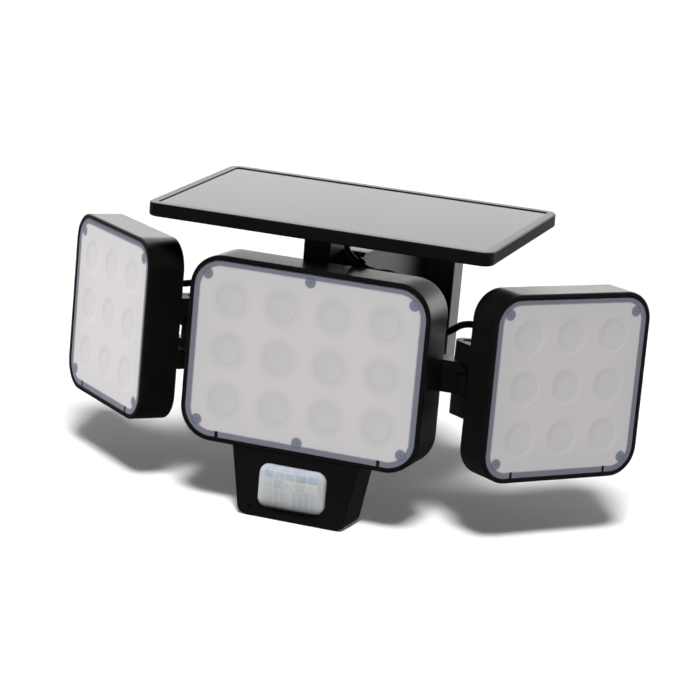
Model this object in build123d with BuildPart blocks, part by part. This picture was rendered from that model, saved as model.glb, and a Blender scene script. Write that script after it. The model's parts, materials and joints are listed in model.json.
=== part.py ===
from build123d import *
from dataclasses import dataclass
import math
import os

# Solar flood light with three lamp heads. The wall box carries an arm. The arm's
# front end holds the main head on a tilt bolt and the solar panel on a second tilt
# bolt. The main head holds the motion sensor below it and a side head on an upright
# swivel bolt at each end.
#
# Frame: millimetres, +Z up, +Y towards the wall, +X to the viewer's right. The
# origin is the centre of the wall box's back face, where it lies on the wall.

os.makedirs("parts", exist_ok=True)

# ---- Clearances ----
DROP_IN_GAP = 0.15  # all round a cover or board in its pocket
TURN_GAP = 0.4  # between faces that turn past each other
SHAFT_GAP = 0.05  # radial, between a bolt and the hole it turns in
THREAD_GAP = 0.05  # radial, between a screw and its pilot hole
PASS_GAP = 0.3  # radial, between a screw and a hole it only passes through
CABLE_GAP = 0.1  # radial, between a cable and the collar it goes through

# ---- Wall box and arm ----
WALL_W = 56.0
WALL_H = 90.0
WALL_PLATE_T = 2.5
WALL_BASE_D = 13.5
WALL_BASE_T = 2.5
WALL_CORNER_R = 5.0
WALL_EDGE_R = 1.5
WALL_SCREW_DX = 38.0
WALL_SCREW_DZ = 60.0
WALL_SCREW_R = 2.6
WALL_TUBE_T = 1.8
ARM_W = 25.0
ARM_WALL_T = 3.0
ARM_TOP_Z = 39.5
ARM_ROOT_Z = -10.0
ARM_ROOT_T = 9.0
ARM_SCREW_INSET = 5.0
ARM_SCREW_L = 9.0

# ---- Tilt bolt of the main head ----
TILT_Y = -122.0
TILT_Z = -1.0
TILT_LOBE_R = 11.0
TILT_EAR_T = 4.5
TILT_EAR_R = 10.0
BOLT_R = 2.5
BOLT_HEAD_R = 4.4
BOLT_HEAD_H = 3.0
NUT_FLATS = 8.0
NUT_H = 4.0

# ---- Tilt bolt of the solar panel ----
PANEL_AXIS_Y = -117.0
PANEL_AXIS_Z = 27.5
PANEL_LOBE_R = 12.0
POST_W = 15.0
POST_OFFSET = -1.0  # the post's right side, from the middle
POST_FRONT_Y = -138.0
POST_BACK_Y = -110.0
POST_WAIST_Z = 34.0

# ---- Lamp heads ----
RIM_T = 2.4
SHELF_W = 3.3
SHELF_T = 2.0
LENS_RECESS = 0.6
LENS_T = 2.0
REFLECTOR_DEPTH = 3.4
REFLECTOR_T = 1.0
BOARD_DEPTH = 9.0
BOARD_T = 1.2
COVER_T = 2.5
GASKET_T = 0.8
GASKET_W = 1.4
LUG_R = 3.1
PILOT_R = 1.1
POST_R = 2.7
SCREW_R = PILOT_R - THREAD_GAP
SCREW_HEAD_R = 2.1
SCREW_HEAD_H = 1.4
SCREW_SINK = 1.6
CUP_TOP_R = 9.5
CUP_FLOOR_R = 6.5
CUP_WALL_T = 0.8
LED_SIZE = 5.0
LED_H = 0.8
NOTCH_W = 2.0
NOTCH_RIB_W = 1.1
FRONT_EDGE_R = 0.8
BACK_EDGE_R = 1.2

MAIN_W = 135.0
MAIN_H = 100.0
MAIN_D = 27.3
MAIN_CORNER_R = 18.0
MAIN_BEHIND_TILT = 16.7  # from the tilt bolt forward to the head's back
MAIN_DROP = 14.0  # the head's middle, below the tilt bolt
SIDE_W = 100.0
SIDE_H = 100.0
SIDE_D = 20.8
SIDE_CORNER_R = 16.0
LUG_INSET_X = 9.5
LUG_INSET_Y = 10.5
MIDDLE_LUG_INSET = 7.0
LED_PITCH_X = 29.0
LED_PITCH_Y = 27.0
SIDE_LED_PITCH = 27.0
MAIN_NOTCH_X = 46.0
SIDE_NOTCH_X = 30.0

# ---- Swivels between the main head and the side heads ----
SWIVEL_OUT = 11.4  # beyond the main head's side
SWIVEL_BACK = 5.9  # behind the main head's back
SWIVEL_FROM_SIDE_BACK = 10.2  # behind the side head's back
KNUCKLE_R = 7.2
KNUCKLE_H = 17.0
KNUCKLE_GROOVE_H = 7.0
KNUCKLE_GROOVE_D = 1.6
YOKE_H = 39.0
SWIVEL_BOLT_R = 2.0
SWIVEL_HEAD_R = 3.5
SWIVEL_HEAD_H = 2.6
SWIVEL_SINK = 3.2
SLOT_W = 0.8
SWIVEL_NUT_FLATS = 7.0
RIGHT_YAW = 53.1
LEFT_YAW = 40.6

# ---- Battery, control board and button ----
CELL_W = 50.0
CELL_H = 34.0
CELL_D = 10.0
CELL_GAP = 1.0
CELL_RISE = 18.5
TRAY_T = 1.2
TRAY_GAP = 0.2
CONTROL_W = 84.0
CONTROL_H = 20.0
CONTROL_T = 1.4
CONTROL_X = 6.0
CONTROL_Y = -21.0
STANDOFF_H = 5.0
STANDOFF_R = 2.0
STANDOFF_INSET = 3.5
BUTTON_X = 38.0
BUTTON_R = 4.5
BUTTON_PROUD = 1.4
BUTTON_FLANGE_R = 6.0
BUTTON_FLANGE_T = 1.0
BUTTON_TRAVEL = 0.8
SWITCH_SIZE = 6.0

# ---- Motion sensor ----
SENSOR_H = 36.0
SENSOR_TOP_HALF = 35.8
SENSOR_FOOT_HALF = 29.7
SENSOR_D = 25.0
SENSOR_SPLIT = 15.0
SENSOR_T = 2.2
SENSOR_CORNER_R = 5.0
WINDOW_W = 38.0
WINDOW_H = 24.0
WINDOW_R = 5.5
WINDOW_DROP = 18.0  # the window's middle, below the sensor's top
WINDOW_GAP = 0.2
DOME_BULGE = 4.6
DOME_T = 1.2
DOME_FLANGE_W = 1.6
DOME_FLANGE_T = 1.0
SENSOR_SCREW_X = 25.5
SENSOR_SCREW_DROP = 8.0
SENSOR_BOARD_W = 50.0
SENSOR_BOARD_H = 20.0
SENSOR_BOARD_DEPTH = 11.0
SENSOR_BOARD_DROP = 23.0
PYRO_R = 4.6
PYRO_H = 4.2
PYRO_FLANGE_R = 5.2
PYRO_FLANGE_T = 0.6
PHOTO_X = -23.0
PHOTO_DROP = 31.0
PHOTO_HOLE_R = 1.0
PHOTO_R = 1.5

# ---- Solar panel ----
PANEL_W = 192.5
PANEL_L = 114.0
PANEL_T = 7.3
PANEL_TILT = 4.3
PANEL_BACK_OF_AXIS = 7.3
PANEL_ABOVE_AXIS = 34.0
PANEL_CORNER_R = 6.5
PANEL_EDGE_R = 0.8
PANEL_BORDER = 4.6
GLASS_RECESS = 0.5
GLASS_T = 2.2
CELL_T = 0.3
BACKSHEET_T = 1.2
SOLAR_COLUMNS = 6
SOLAR_ROWS = 2
SOLAR_GAP = 1.2
SOLAR_MARGIN = 3.0
FLANGE_W = 46.0
FLANGE_L = 40.0
FLANGE_T = 3.0
FLANGE_CORNER_R = 4.0
FLANGE_SCREW_INSET = 5.0
PANEL_PILOT_L = 2.4

# ---- Cables ----
LAMP_CABLE_R = 1.85
PANEL_CABLE_R = 1.6
COLLAR_T = 1.8
COLLAR_H = 4.0
LAMP_COLLAR_X = 52.0  # on the main head's cover
LAMP_COLLAR_Z = 13.5
SIDE_COLLAR_X = 25.0  # on a side head's cover, from its middle towards the main head
SIDE_COLLAR_Z = 22.0
MAIN_COLLAR_X = 44.0
MAIN_COLLAR_Z = 26.0
CLIP_L = 4.0
CLIP_T = 1.5
CLIP_OUT = 2.2  # the clip's middle, beyond the arm's right side
CLIP_AHEAD = 4.0  # and in front of the arm's front end
CLIP_DROP = 4.0  # and below its top
CLIP_RUN, CLIP_FALL = 0.88, 0.475  # how the clip slants down to the right
BEND_SHARE = 0.45  # of a run that the arc at its end takes up
LAMP_LEAD_OUT = 9.0  # straight out of each collar of a lamp cable
LAMP_RISE_IN = 17.0  # its first bend, from the swivel towards the middle
LAMP_RISE_BACK = 17.0  # behind its collar
LAMP_RISE_DROP = 6.0  # and below its top
LAMP_TOP_IN = 6.0  # its second bend, from the swivel towards the middle
LAMP_TOP_BACK = 13.0  # behind the swivel
LAMP_TOP_RISE = 2.0  # and above the yoke's clearance
LAMP_OVER_YOKE = 3.0  # times the cable's radius
PANEL_LEAD_OUT = 8.0  # straight out of the panel's collar
CLIP_LEAD_OUT = 7.0  # straight out of each end of the clip
SLACK_START = (17.5, -0.5, -1.5)  # the slack loop, from the clip
SLACK_END = (26.0, 2.0, -6.0)
DROP_START = (0.0, 10.5, 10.0)  # the drop to the main head's collar, from it
DROP_END = (0.0, 10.0, 0.0)

TILT_EAR_X = ARM_W / 2 + TURN_GAP
MAIN_BACK_Y = TILT_Y - MAIN_BEHIND_TILT
MAIN_Z = TILT_Z - MAIN_DROP
SHELF_INSET = RIM_T + SHELF_W
TIGHT = 0.3  # between lamp pieces stacked behind the lens


def keep(piece, name):
    """Names a finished piece and writes it."""
    piece.part.label = name
    export_step(piece.part, f"parts/{name}.step")


@dataclass
class Lamp:
    """One lamp head. In its face plane, x runs right, y up and z out of the lens."""

    name: str
    face: Plane
    width: float
    height: float
    depth: float
    corner: float
    lugs: list
    leds: tuple
    pitch: tuple
    notch_x: float

    def behind(self, depth):
        """The plane this far behind the rim's front."""
        return self.face.offset(-depth)

    def outline(self, inset, mode=Mode.ADD):
        """A sketch of the head's outline, drawn smaller by the inset."""
        RectangleRounded(
            self.width - 2 * inset,
            self.height - 2 * inset,
            self.corner - inset,
            mode=mode,
        )


def lug_places(width, height, with_middle):
    x = width / 2 - LUG_INSET_X
    y = height / 2 - LUG_INSET_Y
    places = [(i * x, j * y) for i in (-1, 1) for j in (-1, 1)]
    if with_middle:
        places += [(0, j * (height / 2 - MIDDLE_LUG_INSET)) for j in (-1, 1)]
    return places


def swivel_point(side):
    """Where a swivel bolt's axis crosses the level of the main head's middle."""
    return Vector(
        side * (MAIN_W / 2 + SWIVEL_OUT), MAIN_BACK_Y + SWIVEL_BACK, MAIN_Z
    )


def side_face(side, yaw):
    """The plane of a side head's front, turned outwards by yaw degrees."""
    a = math.radians(yaw)
    outwards = Vector(side * math.cos(a), math.sin(a), 0)
    ahead = Vector(side * math.sin(a), -math.cos(a), 0)
    middle = (
        swivel_point(side)
        + outwards * (SIDE_W / 2 - KNUCKLE_R)
        + ahead * (SIDE_D + SWIVEL_FROM_SIDE_BACK)
    )
    return Plane(origin=middle, x_dir=outwards * side, z_dir=ahead)


MAIN = Lamp(
    "main",
    Plane(origin=(0, MAIN_BACK_Y - MAIN_D, MAIN_Z), x_dir=(1, 0, 0), z_dir=(0, -1, 0)),
    MAIN_W,
    MAIN_H,
    MAIN_D,
    MAIN_CORNER_R,
    lug_places(MAIN_W, MAIN_H, True),
    (4, 3),
    (LED_PITCH_X, LED_PITCH_Y),
    MAIN_NOTCH_X,
)


def side_lamp(name, side, yaw):
    return Lamp(
        name,
        side_face(side, yaw),
        SIDE_W,
        SIDE_H,
        SIDE_D,
        SIDE_CORNER_R,
        lug_places(SIDE_W, SIDE_H, False),
        (3, 3),
        (SIDE_LED_PITCH, SIDE_LED_PITCH),
        SIDE_NOTCH_X,
    )


SIDES = [
    (side_lamp("right", 1, RIGHT_YAW), 1),
    (side_lamp("left", -1, LEFT_YAW), -1),
]

# ---- Pieces that every lamp head has ----


def lamp_housing(lamp):
    """The head's wall, with the shelf and lugs behind the lens and the cover's seat."""
    lens_back = LENS_RECESS + LENS_T
    seat_depth = lamp.depth - COVER_T - GASKET_T
    ribs = [(i * lamp.notch_x, -lamp.height / 2 + RIM_T + SHELF_W / 2) for i in (-1, 1)]
    with BuildPart() as housing:
        with BuildSketch(lamp.face):
            lamp.outline(0)
        extrude(amount=-lamp.depth)
        along = Axis(lamp.face.origin, lamp.face.z_dir)
        fillet(housing.edges().group_by(along)[-1], FRONT_EDGE_R)
        fillet(housing.edges().group_by(along)[0], BACK_EDGE_R)
        with BuildSketch(lamp.face):
            lamp.outline(RIM_T)
        extrude(amount=-lamp.depth, mode=Mode.SUBTRACT)
        with BuildSketch(lamp.behind(lens_back)):
            lamp.outline(RIM_T)
            lamp.outline(SHELF_INSET, Mode.SUBTRACT)
        extrude(amount=-SHELF_T)
        with BuildSketch(lamp.behind(lens_back)):
            with Locations(*lamp.lugs):
                Circle(LUG_R)
        extrude(amount=lens_back - BOARD_DEPTH)
        with BuildSketch(lamp.behind(seat_depth)):
            lamp.outline(RIM_T)
            lamp.outline(RIM_T + GASKET_W, Mode.SUBTRACT)
        extrude(amount=GASKET_W)
        with BuildSketch(lamp.behind(LENS_RECESS)):
            with Locations(*ribs):
                Rectangle(NOTCH_RIB_W, SHELF_W)
        extrude(amount=-LENS_T)
        with BuildSketch(lamp.behind(lens_back)):
            with Locations(*lamp.lugs):
                Circle(PILOT_R)
        extrude(amount=lens_back - BOARD_DEPTH, mode=Mode.SUBTRACT)
    return housing


def lamp_lens(lamp):
    """The frosted window, notched at its foot for the housing's two ribs."""
    notches = [(i * lamp.notch_x, -lamp.height / 2 + RIM_T + SHELF_W / 2) for i in (-1, 1)]
    with BuildPart() as lens:
        with BuildSketch(lamp.behind(LENS_RECESS)):
            lamp.outline(RIM_T + DROP_IN_GAP)
            with Locations(*notches):
                Rectangle(NOTCH_W, SHELF_W + DROP_IN_GAP, mode=Mode.SUBTRACT)
        extrude(amount=-LENS_T)
    return lens


def lamp_reflector(lamp):
    """The white tray: a flat front with one open cup for each LED."""
    cup_h = BOARD_DEPTH - REFLECTOR_DEPTH
    with BuildPart(lamp.behind(BOARD_DEPTH)) as reflector:
        with BuildSketch(lamp.behind(REFLECTOR_DEPTH)):
            lamp.outline(SHELF_INSET + TIGHT)
            with Locations(*lamp.lugs):
                Circle(LUG_R + TIGHT, mode=Mode.SUBTRACT)
        extrude(amount=-REFLECTOR_T)
        with GridLocations(*lamp.pitch, *lamp.leds):
            Cone(
                CUP_FLOOR_R + CUP_WALL_T,
                CUP_TOP_R + CUP_WALL_T,
                cup_h,
                align=(Align.CENTER, Align.CENTER, Align.MIN),
            )
        with GridLocations(*lamp.pitch, *lamp.leds):
            Cone(
                CUP_FLOOR_R,
                CUP_TOP_R,
                cup_h,
                align=(Align.CENTER, Align.CENTER, Align.MIN),
                mode=Mode.SUBTRACT,
            )
    return reflector


def lamp_board(lamp):
    """The LED board, with a hole at each lug."""
    with BuildPart() as board:
        with BuildSketch(lamp.behind(BOARD_DEPTH)):
            lamp.outline(SHELF_INSET + TIGHT)
            with Locations(*lamp.lugs):
                Circle(SCREW_R + PASS_GAP, mode=Mode.SUBTRACT)
        extrude(amount=-BOARD_T)
    return board


def lamp_leds(lamp):
    """The LEDs, one in each cup."""
    with BuildPart() as leds:
        with BuildSketch(lamp.behind(BOARD_DEPTH)):
            with GridLocations(*lamp.pitch, *lamp.leds):
                Rectangle(LED_SIZE, LED_SIZE)
        extrude(amount=LED_H)
    return leds


def lamp_gasket(lamp):
    """The seal between the cover and its seat."""
    with BuildPart() as gasket:
        with BuildSketch(lamp.behind(lamp.depth - COVER_T - GASKET_T)):
            lamp.outline(RIM_T + DROP_IN_GAP)
            lamp.outline(RIM_T + GASKET_W, Mode.SUBTRACT)
        extrude(amount=-GASKET_T)
    return gasket


def lamp_cover(lamp):
    """The cover's plate, with a hollow post for each long screw."""
    with BuildPart() as cover:
        with BuildSketch(lamp.behind(lamp.depth)):
            lamp.outline(RIM_T + DROP_IN_GAP)
        extrude(amount=COVER_T)
        with BuildSketch(lamp.behind(lamp.depth - COVER_T)):
            with Locations(*lamp.lugs):
                Circle(POST_R)
        extrude(amount=lamp.depth - COVER_T - BOARD_DEPTH - BOARD_T)
    return cover


def drill_posts(lamp):
    """Screw holes through the cover's posts, sunk for the screw heads."""
    with BuildSketch(lamp.behind(lamp.depth)) as profile:
        with Locations(*lamp.lugs):
            Circle(SCREW_R + PASS_GAP)
    extrude(profile.sketch, amount=lamp.depth, mode=Mode.SUBTRACT)
    with BuildSketch(lamp.behind(lamp.depth)) as profile:
        with Locations(*lamp.lugs):
            Circle(SCREW_HEAD_R + PASS_GAP)
    extrude(profile.sketch, amount=SCREW_SINK, mode=Mode.SUBTRACT)


def lamp_screws(lamp):
    """The long screws, from the cover through the board into the housing's lugs."""
    head_depth = lamp.depth - SCREW_SINK
    tip_depth = LENS_RECESS + LENS_T + PASS_GAP
    with BuildPart() as screws:
        with BuildSketch(lamp.behind(head_depth)):
            with Locations(*lamp.lugs):
                Circle(SCREW_HEAD_R)
        extrude(amount=-SCREW_HEAD_H)
        with BuildSketch(lamp.behind(head_depth)):
            with Locations(*lamp.lugs):
                Circle(SCREW_R)
        extrude(amount=head_depth - tip_depth)
    return screws


def collar(plane, cable_r):
    """A short tube for a cable, standing on the plane of the cover's back."""
    with BuildSketch(plane) as profile:
        Circle(cable_r + COLLAR_T)
    extrude(profile.sketch, amount=COLLAR_H)
    with BuildSketch(plane) as profile:
        Circle(cable_r + CABLE_GAP)
    extrude(profile.sketch, amount=COLLAR_H, mode=Mode.SUBTRACT)
    with BuildSketch(plane) as profile:
        Circle(cable_r + CABLE_GAP)
    extrude(profile.sketch, amount=-COVER_T, mode=Mode.SUBTRACT)


def cover_point(lamp, x, y):
    """A plane on the back of a head's cover, facing away from the head."""
    back = lamp.behind(lamp.depth)
    at = back.from_local_coords((x, y, 0))
    return Plane(origin=at, x_dir=-back.x_dir, z_dir=-back.z_dir)


# ---- Main head ----

SENSOR_TOP_Y = -MAIN_H / 2
WINDOW_Y = SENSOR_TOP_Y - WINDOW_DROP
MAIN_BACK = MAIN.behind(MAIN_D)
INNER_DEPTH = MAIN_D - COVER_T
SENSOR_SCREW_Y = SENSOR_TOP_Y - SENSOR_SCREW_DROP
TOP_SCREW_DEPTH = 20.0
TOP_SCREW_X = 12.0
SENSOR_SCREW_L = 8.0
WIRE_DEPTH = 19.5
WIRE_HOLE_R = 3.0


def below_main(depth):
    """The level plane of the main head's underside, y towards the wall from the front."""
    front = MAIN.face.origin
    return Plane(
        origin=(0, front.Y + depth, front.Z - MAIN_H / 2), x_dir=(1, 0, 0), z_dir=(0, 0, 1)
    )


main_housing_shell = lamp_housing(MAIN)
with BuildPart() as main_housing:
    add(main_housing_shell.part)
    with BuildSketch(below_main(WIRE_DEPTH)):
        Circle(WIRE_HOLE_R)
    extrude(amount=RIM_T, mode=Mode.SUBTRACT)
    with BuildSketch(below_main(TOP_SCREW_DEPTH)):
        with Locations((-TOP_SCREW_X, 0), (TOP_SCREW_X, 0)):
            Circle(SCREW_R + PASS_GAP)
    extrude(amount=RIM_T, mode=Mode.SUBTRACT)
keep(main_housing, "main_housing")

keep(lamp_lens(MAIN), "main_lens")
keep(lamp_reflector(MAIN), "main_reflector")
keep(lamp_board(MAIN), "main_led_board")
keep(lamp_leds(MAIN), "main_leds")
keep(lamp_gasket(MAIN), "main_cover_gasket")
keep(lamp_screws(MAIN), "main_cover_screws")

CELL_X = (CELL_W + CELL_GAP) / 2
CELL_Y = CELL_RISE
CELLS_W = 2 * CELL_W + CELL_GAP
TRAY_DEPTH = CELL_D + TRAY_GAP + TRAY_T
BUTTON_FACE = MAIN.behind(INNER_DEPTH - TURN_GAP)
COVER_INNER = MAIN.behind(INNER_DEPTH)
STANDOFFS = [
    (
        CONTROL_X + i * (CONTROL_W / 2 - STANDOFF_INSET),
        CONTROL_Y + j * (CONTROL_H / 2 - STANDOFF_INSET),
    )
    for i in (-1, 1)
    for j in (-1, 1)
]


def tilt_ear(side):
    """One of the cover's two ears on the tilt bolt."""
    start = side * TILT_EAR_X
    with BuildSketch(Plane.YZ.offset(start)) as profile:
        with BuildLine():
            Polyline(
                (MAIN_BACK_Y, TILT_Z - TILT_EAR_R - TILT_EAR_T),
                (MAIN_BACK_Y, TILT_Z + TILT_EAR_R + TILT_EAR_T),
                (TILT_Y, TILT_Z + TILT_EAR_R),
                (TILT_Y, TILT_Z - TILT_EAR_R),
                close=True,
            )
        make_face()
        with Locations((TILT_Y, TILT_Z)):
            Circle(TILT_EAR_R)
            Circle(BOLT_R + SHAFT_GAP, mode=Mode.SUBTRACT)
    extrude(profile.sketch, amount=side * TILT_EAR_T)


def swivel_lug(side):
    """The main head's half of a swivel: a grooved knuckle on a web."""
    at = swivel_point(side)
    root_x = side * (MAIN_W / 2 - MAIN_CORNER_R - KNUCKLE_R)
    web_x = side * (MAIN_W / 2 - MAIN_CORNER_R / 2)
    level = Plane(origin=(0, 0, at.Z - KNUCKLE_H / 2), z_dir=(0, 0, 1))
    groove = Plane(origin=(0, 0, at.Z - KNUCKLE_GROOVE_H / 2), z_dir=(0, 0, 1))
    with BuildSketch(level) as profile:
        with BuildLine():
            Polyline(
                (root_x, MAIN_BACK_Y),
                (at.X, MAIN_BACK_Y),
                (at.X, at.Y + KNUCKLE_R),
                (web_x, at.Y + KNUCKLE_R),
                close=True,
            )
        make_face()
        with Locations((at.X, at.Y)):
            Circle(KNUCKLE_R)
    extrude(profile.sketch, amount=KNUCKLE_H)
    with BuildSketch(groove) as profile:
        with Locations((at.X, at.Y)):
            Circle(KNUCKLE_R)
            Circle(KNUCKLE_R - KNUCKLE_GROOVE_D, mode=Mode.SUBTRACT)
    extrude(profile.sketch, amount=KNUCKLE_GROOVE_H, mode=Mode.SUBTRACT)
    with BuildSketch(level) as profile:
        with Locations((at.X, at.Y)):
            Circle(SWIVEL_BOLT_R + SHAFT_GAP)
    extrude(profile.sketch, amount=KNUCKLE_H, mode=Mode.SUBTRACT)


main_cover_plate = lamp_cover(MAIN)
with BuildPart() as main_back_cover:
    add(main_cover_plate.part)
    for side in (-1, 1):
        tilt_ear(side)
        swivel_lug(side)
    with BuildSketch(COVER_INNER):
        with Locations(*STANDOFFS):
            Circle(STANDOFF_R)
    extrude(amount=STANDOFF_H)
    with BuildSketch(MAIN_BACK):
        with Locations((BUTTON_X, CONTROL_Y)):
            Circle(BUTTON_R + TURN_GAP)
    extrude(amount=COVER_T, mode=Mode.SUBTRACT)
    drill_posts(MAIN)
    for side in (-1, 1):
        collar(cover_point(MAIN, side * LAMP_COLLAR_X, LAMP_COLLAR_Z), LAMP_CABLE_R)
    collar(cover_point(MAIN, MAIN_COLLAR_X, MAIN_COLLAR_Z), PANEL_CABLE_R)
keep(main_back_cover, "main_back_cover")

with BuildPart() as battery_tray:
    with BuildSketch(COVER_INNER):
        with Locations((0, CELL_Y)):
            Rectangle(CELLS_W + 2 * (TRAY_GAP + TRAY_T), CELL_H + 2 * (TRAY_GAP + TRAY_T))
    extrude(amount=TRAY_DEPTH)
    with BuildSketch(COVER_INNER):
        with Locations((0, CELL_Y)):
            Rectangle(CELLS_W + 2 * TRAY_GAP, CELL_H + 2 * TRAY_GAP)
    extrude(amount=TRAY_DEPTH - TRAY_T, mode=Mode.SUBTRACT)
keep(battery_tray, "battery_tray")

with BuildPart() as battery_cells:
    with BuildSketch(COVER_INNER.offset(TRAY_GAP)):
        with Locations((-CELL_X, CELL_Y), (CELL_X, CELL_Y)):
            RectangleRounded(CELL_W, CELL_H, CELL_GAP)
    extrude(amount=CELL_D)
keep(battery_cells, "battery_cells")

CONTROL_BACK = MAIN.behind(INNER_DEPTH - STANDOFF_H)
with BuildPart() as control_board:
    with BuildSketch(CONTROL_BACK):
        with Locations((CONTROL_X, CONTROL_Y)):
            Rectangle(CONTROL_W, CONTROL_H)
    extrude(amount=CONTROL_T)
keep(control_board, "control_board")

BUTTON_INNER = STANDOFF_H - 2 * TURN_GAP - BUTTON_FLANGE_T - BUTTON_TRAVEL
# Each chip's place along the board, width, height and thickness.
CHIPS = [(-26.0, 6.0, 5.0, 1.6), (-10.0, 8.0, 6.0, 3.0), (6.0, 5.0, 8.0, 2.2), (20.0, 7.0, 7.0, 3.6)]
with BuildPart() as control_parts:
    for chip_x, chip_w, chip_h, chip_t in CHIPS:
        with BuildSketch(CONTROL_BACK):
            with Locations((chip_x, CONTROL_Y)):
                Rectangle(chip_w, chip_h)
        extrude(amount=-chip_t)
    with BuildSketch(CONTROL_BACK):
        with Locations((BUTTON_X, CONTROL_Y)):
            Rectangle(SWITCH_SIZE, SWITCH_SIZE)
    extrude(amount=-BUTTON_INNER)
keep(control_parts, "control_parts")

with BuildPart() as mode_button:
    with BuildSketch(BUTTON_FACE):
        with Locations((BUTTON_X, CONTROL_Y)):
            Circle(BUTTON_FLANGE_R)
    extrude(amount=BUTTON_FLANGE_T)
    with BuildSketch(BUTTON_FACE):
        with Locations((BUTTON_X, CONTROL_Y)):
            Circle(BUTTON_R)
    extrude(amount=-(TURN_GAP + COVER_T + BUTTON_PROUD))
    crown = mode_button.faces().sort_by(Axis(MAIN_BACK.origin, MAIN_BACK.z_dir))[0]
    fillet(crown.edges(), BUTTON_PROUD / 2)
keep(mode_button, "mode_button")

# ---- Motion sensor below the main head ----

SENSOR_FRONT = MAIN.face
SENSOR_SIDE_SLOPE = (SENSOR_TOP_HALF - SENSOR_FOOT_HALF) / SENSOR_H


def sensor_outline(inset):
    """The housing's tapered outline, with round lower corners."""
    top = SENSOR_TOP_Y - inset
    foot = SENSOR_TOP_Y - SENSOR_H + inset
    top_half = SENSOR_TOP_HALF - inset * (1 + SENSOR_SIDE_SLOPE)
    foot_half = SENSOR_FOOT_HALF - inset * (1 - SENSOR_SIDE_SLOPE)
    with BuildLine() as edge:
        Polyline(
            (-top_half, top),
            (-foot_half, foot),
            (foot_half, foot),
            (top_half, top),
            close=True,
        )
    face = make_face(edge.edges())
    fillet(face.vertices().group_by(Axis.Y)[0], SENSOR_CORNER_R - inset)


SENSOR_SCREWS = [(i * SENSOR_SCREW_X, SENSOR_SCREW_Y) for i in (-1, 1)]
SENSOR_POSTS = [(i * (SENSOR_BOARD_W / 2 - STANDOFF_R), SENSOR_TOP_Y - SENSOR_BOARD_DROP) for i in (-1, 1)]

with BuildPart() as sensor_housing:
    with BuildSketch(SENSOR_FRONT):
        sensor_outline(0)
    extrude(amount=-SENSOR_SPLIT)
    with BuildSketch(MAIN.behind(SENSOR_T)):
        sensor_outline(SENSOR_T)
    extrude(amount=SENSOR_T - SENSOR_SPLIT, mode=Mode.SUBTRACT)
    front_edges = sensor_housing.edges().group_by(Axis(MAIN.face.origin, MAIN.face.z_dir))[-1]
    fillet(front_edges.sort_by(Axis.Z)[:-1], FRONT_EDGE_R)
    with BuildSketch(MAIN.behind(SENSOR_T)):
        with Locations(*SENSOR_SCREWS):
            Circle(POST_R)
    extrude(amount=SENSOR_T - SENSOR_SPLIT)
    with BuildSketch(MAIN.behind(SENSOR_T)):
        with Locations(*SENSOR_POSTS):
            Circle(STANDOFF_R)
    extrude(amount=SENSOR_T - SENSOR_BOARD_DEPTH)
    with BuildSketch(MAIN.behind(SENSOR_SPLIT)):
        with Locations(*SENSOR_SCREWS):
            Circle(PILOT_R)
    extrude(amount=SENSOR_SPLIT - 2 * SENSOR_T, mode=Mode.SUBTRACT)
    with BuildSketch(SENSOR_FRONT):
        with Locations((0, WINDOW_Y)):
            RectangleRounded(WINDOW_W + 2 * WINDOW_GAP, WINDOW_H + 2 * WINDOW_GAP, WINDOW_R)
        with Locations((PHOTO_X, SENSOR_TOP_Y - PHOTO_DROP)):
            Circle(PHOTO_HOLE_R)
    extrude(amount=-SENSOR_T, mode=Mode.SUBTRACT)
keep(sensor_housing, "sensor_housing")

BACK_SHELL_D = SENSOR_D - SENSOR_SPLIT
with BuildPart() as sensor_back:
    with BuildSketch(MAIN.behind(SENSOR_D)):
        sensor_outline(0)
    extrude(amount=BACK_SHELL_D)
    with BuildSketch(MAIN.behind(SENSOR_D - SENSOR_T)):
        sensor_outline(SENSOR_T)
    extrude(amount=BACK_SHELL_D - SENSOR_T, mode=Mode.SUBTRACT)
    rear_edges = sensor_back.edges().group_by(Axis(MAIN.face.origin, MAIN.face.z_dir))[0]
    fillet(rear_edges.sort_by(Axis.Z)[:-1], BACK_EDGE_R)
    with BuildSketch(MAIN.behind(SENSOR_D - SENSOR_T)):
        with Locations(*SENSOR_SCREWS):
            Circle(POST_R)
    extrude(amount=BACK_SHELL_D - SENSOR_T)
    with BuildSketch(MAIN.behind(SENSOR_D)):
        with Locations(*SENSOR_SCREWS):
            Circle(SCREW_R + PASS_GAP)
    extrude(amount=BACK_SHELL_D, mode=Mode.SUBTRACT)
    with BuildSketch(MAIN.behind(SENSOR_D)):
        with Locations(*SENSOR_SCREWS):
            Circle(SCREW_HEAD_R + PASS_GAP)
    extrude(amount=BACK_SHELL_D / 2, mode=Mode.SUBTRACT)
    with BuildSketch(below_main(TOP_SCREW_DEPTH)):
        with Locations((-TOP_SCREW_X, 0), (TOP_SCREW_X, 0)):
            Circle(POST_R)
    extrude(amount=-SENSOR_SCREW_L, mode=Mode.ADD)
    with BuildSketch(below_main(TOP_SCREW_DEPTH)):
        with Locations((-TOP_SCREW_X, 0), (TOP_SCREW_X, 0)):
            Circle(PILOT_R)
    extrude(amount=-SENSOR_SCREW_L, mode=Mode.SUBTRACT)
    with BuildSketch(below_main(WIRE_DEPTH)):
        Circle(WIRE_HOLE_R)
    extrude(amount=-SENSOR_T, mode=Mode.SUBTRACT)
keep(sensor_back, "sensor_back")

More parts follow.
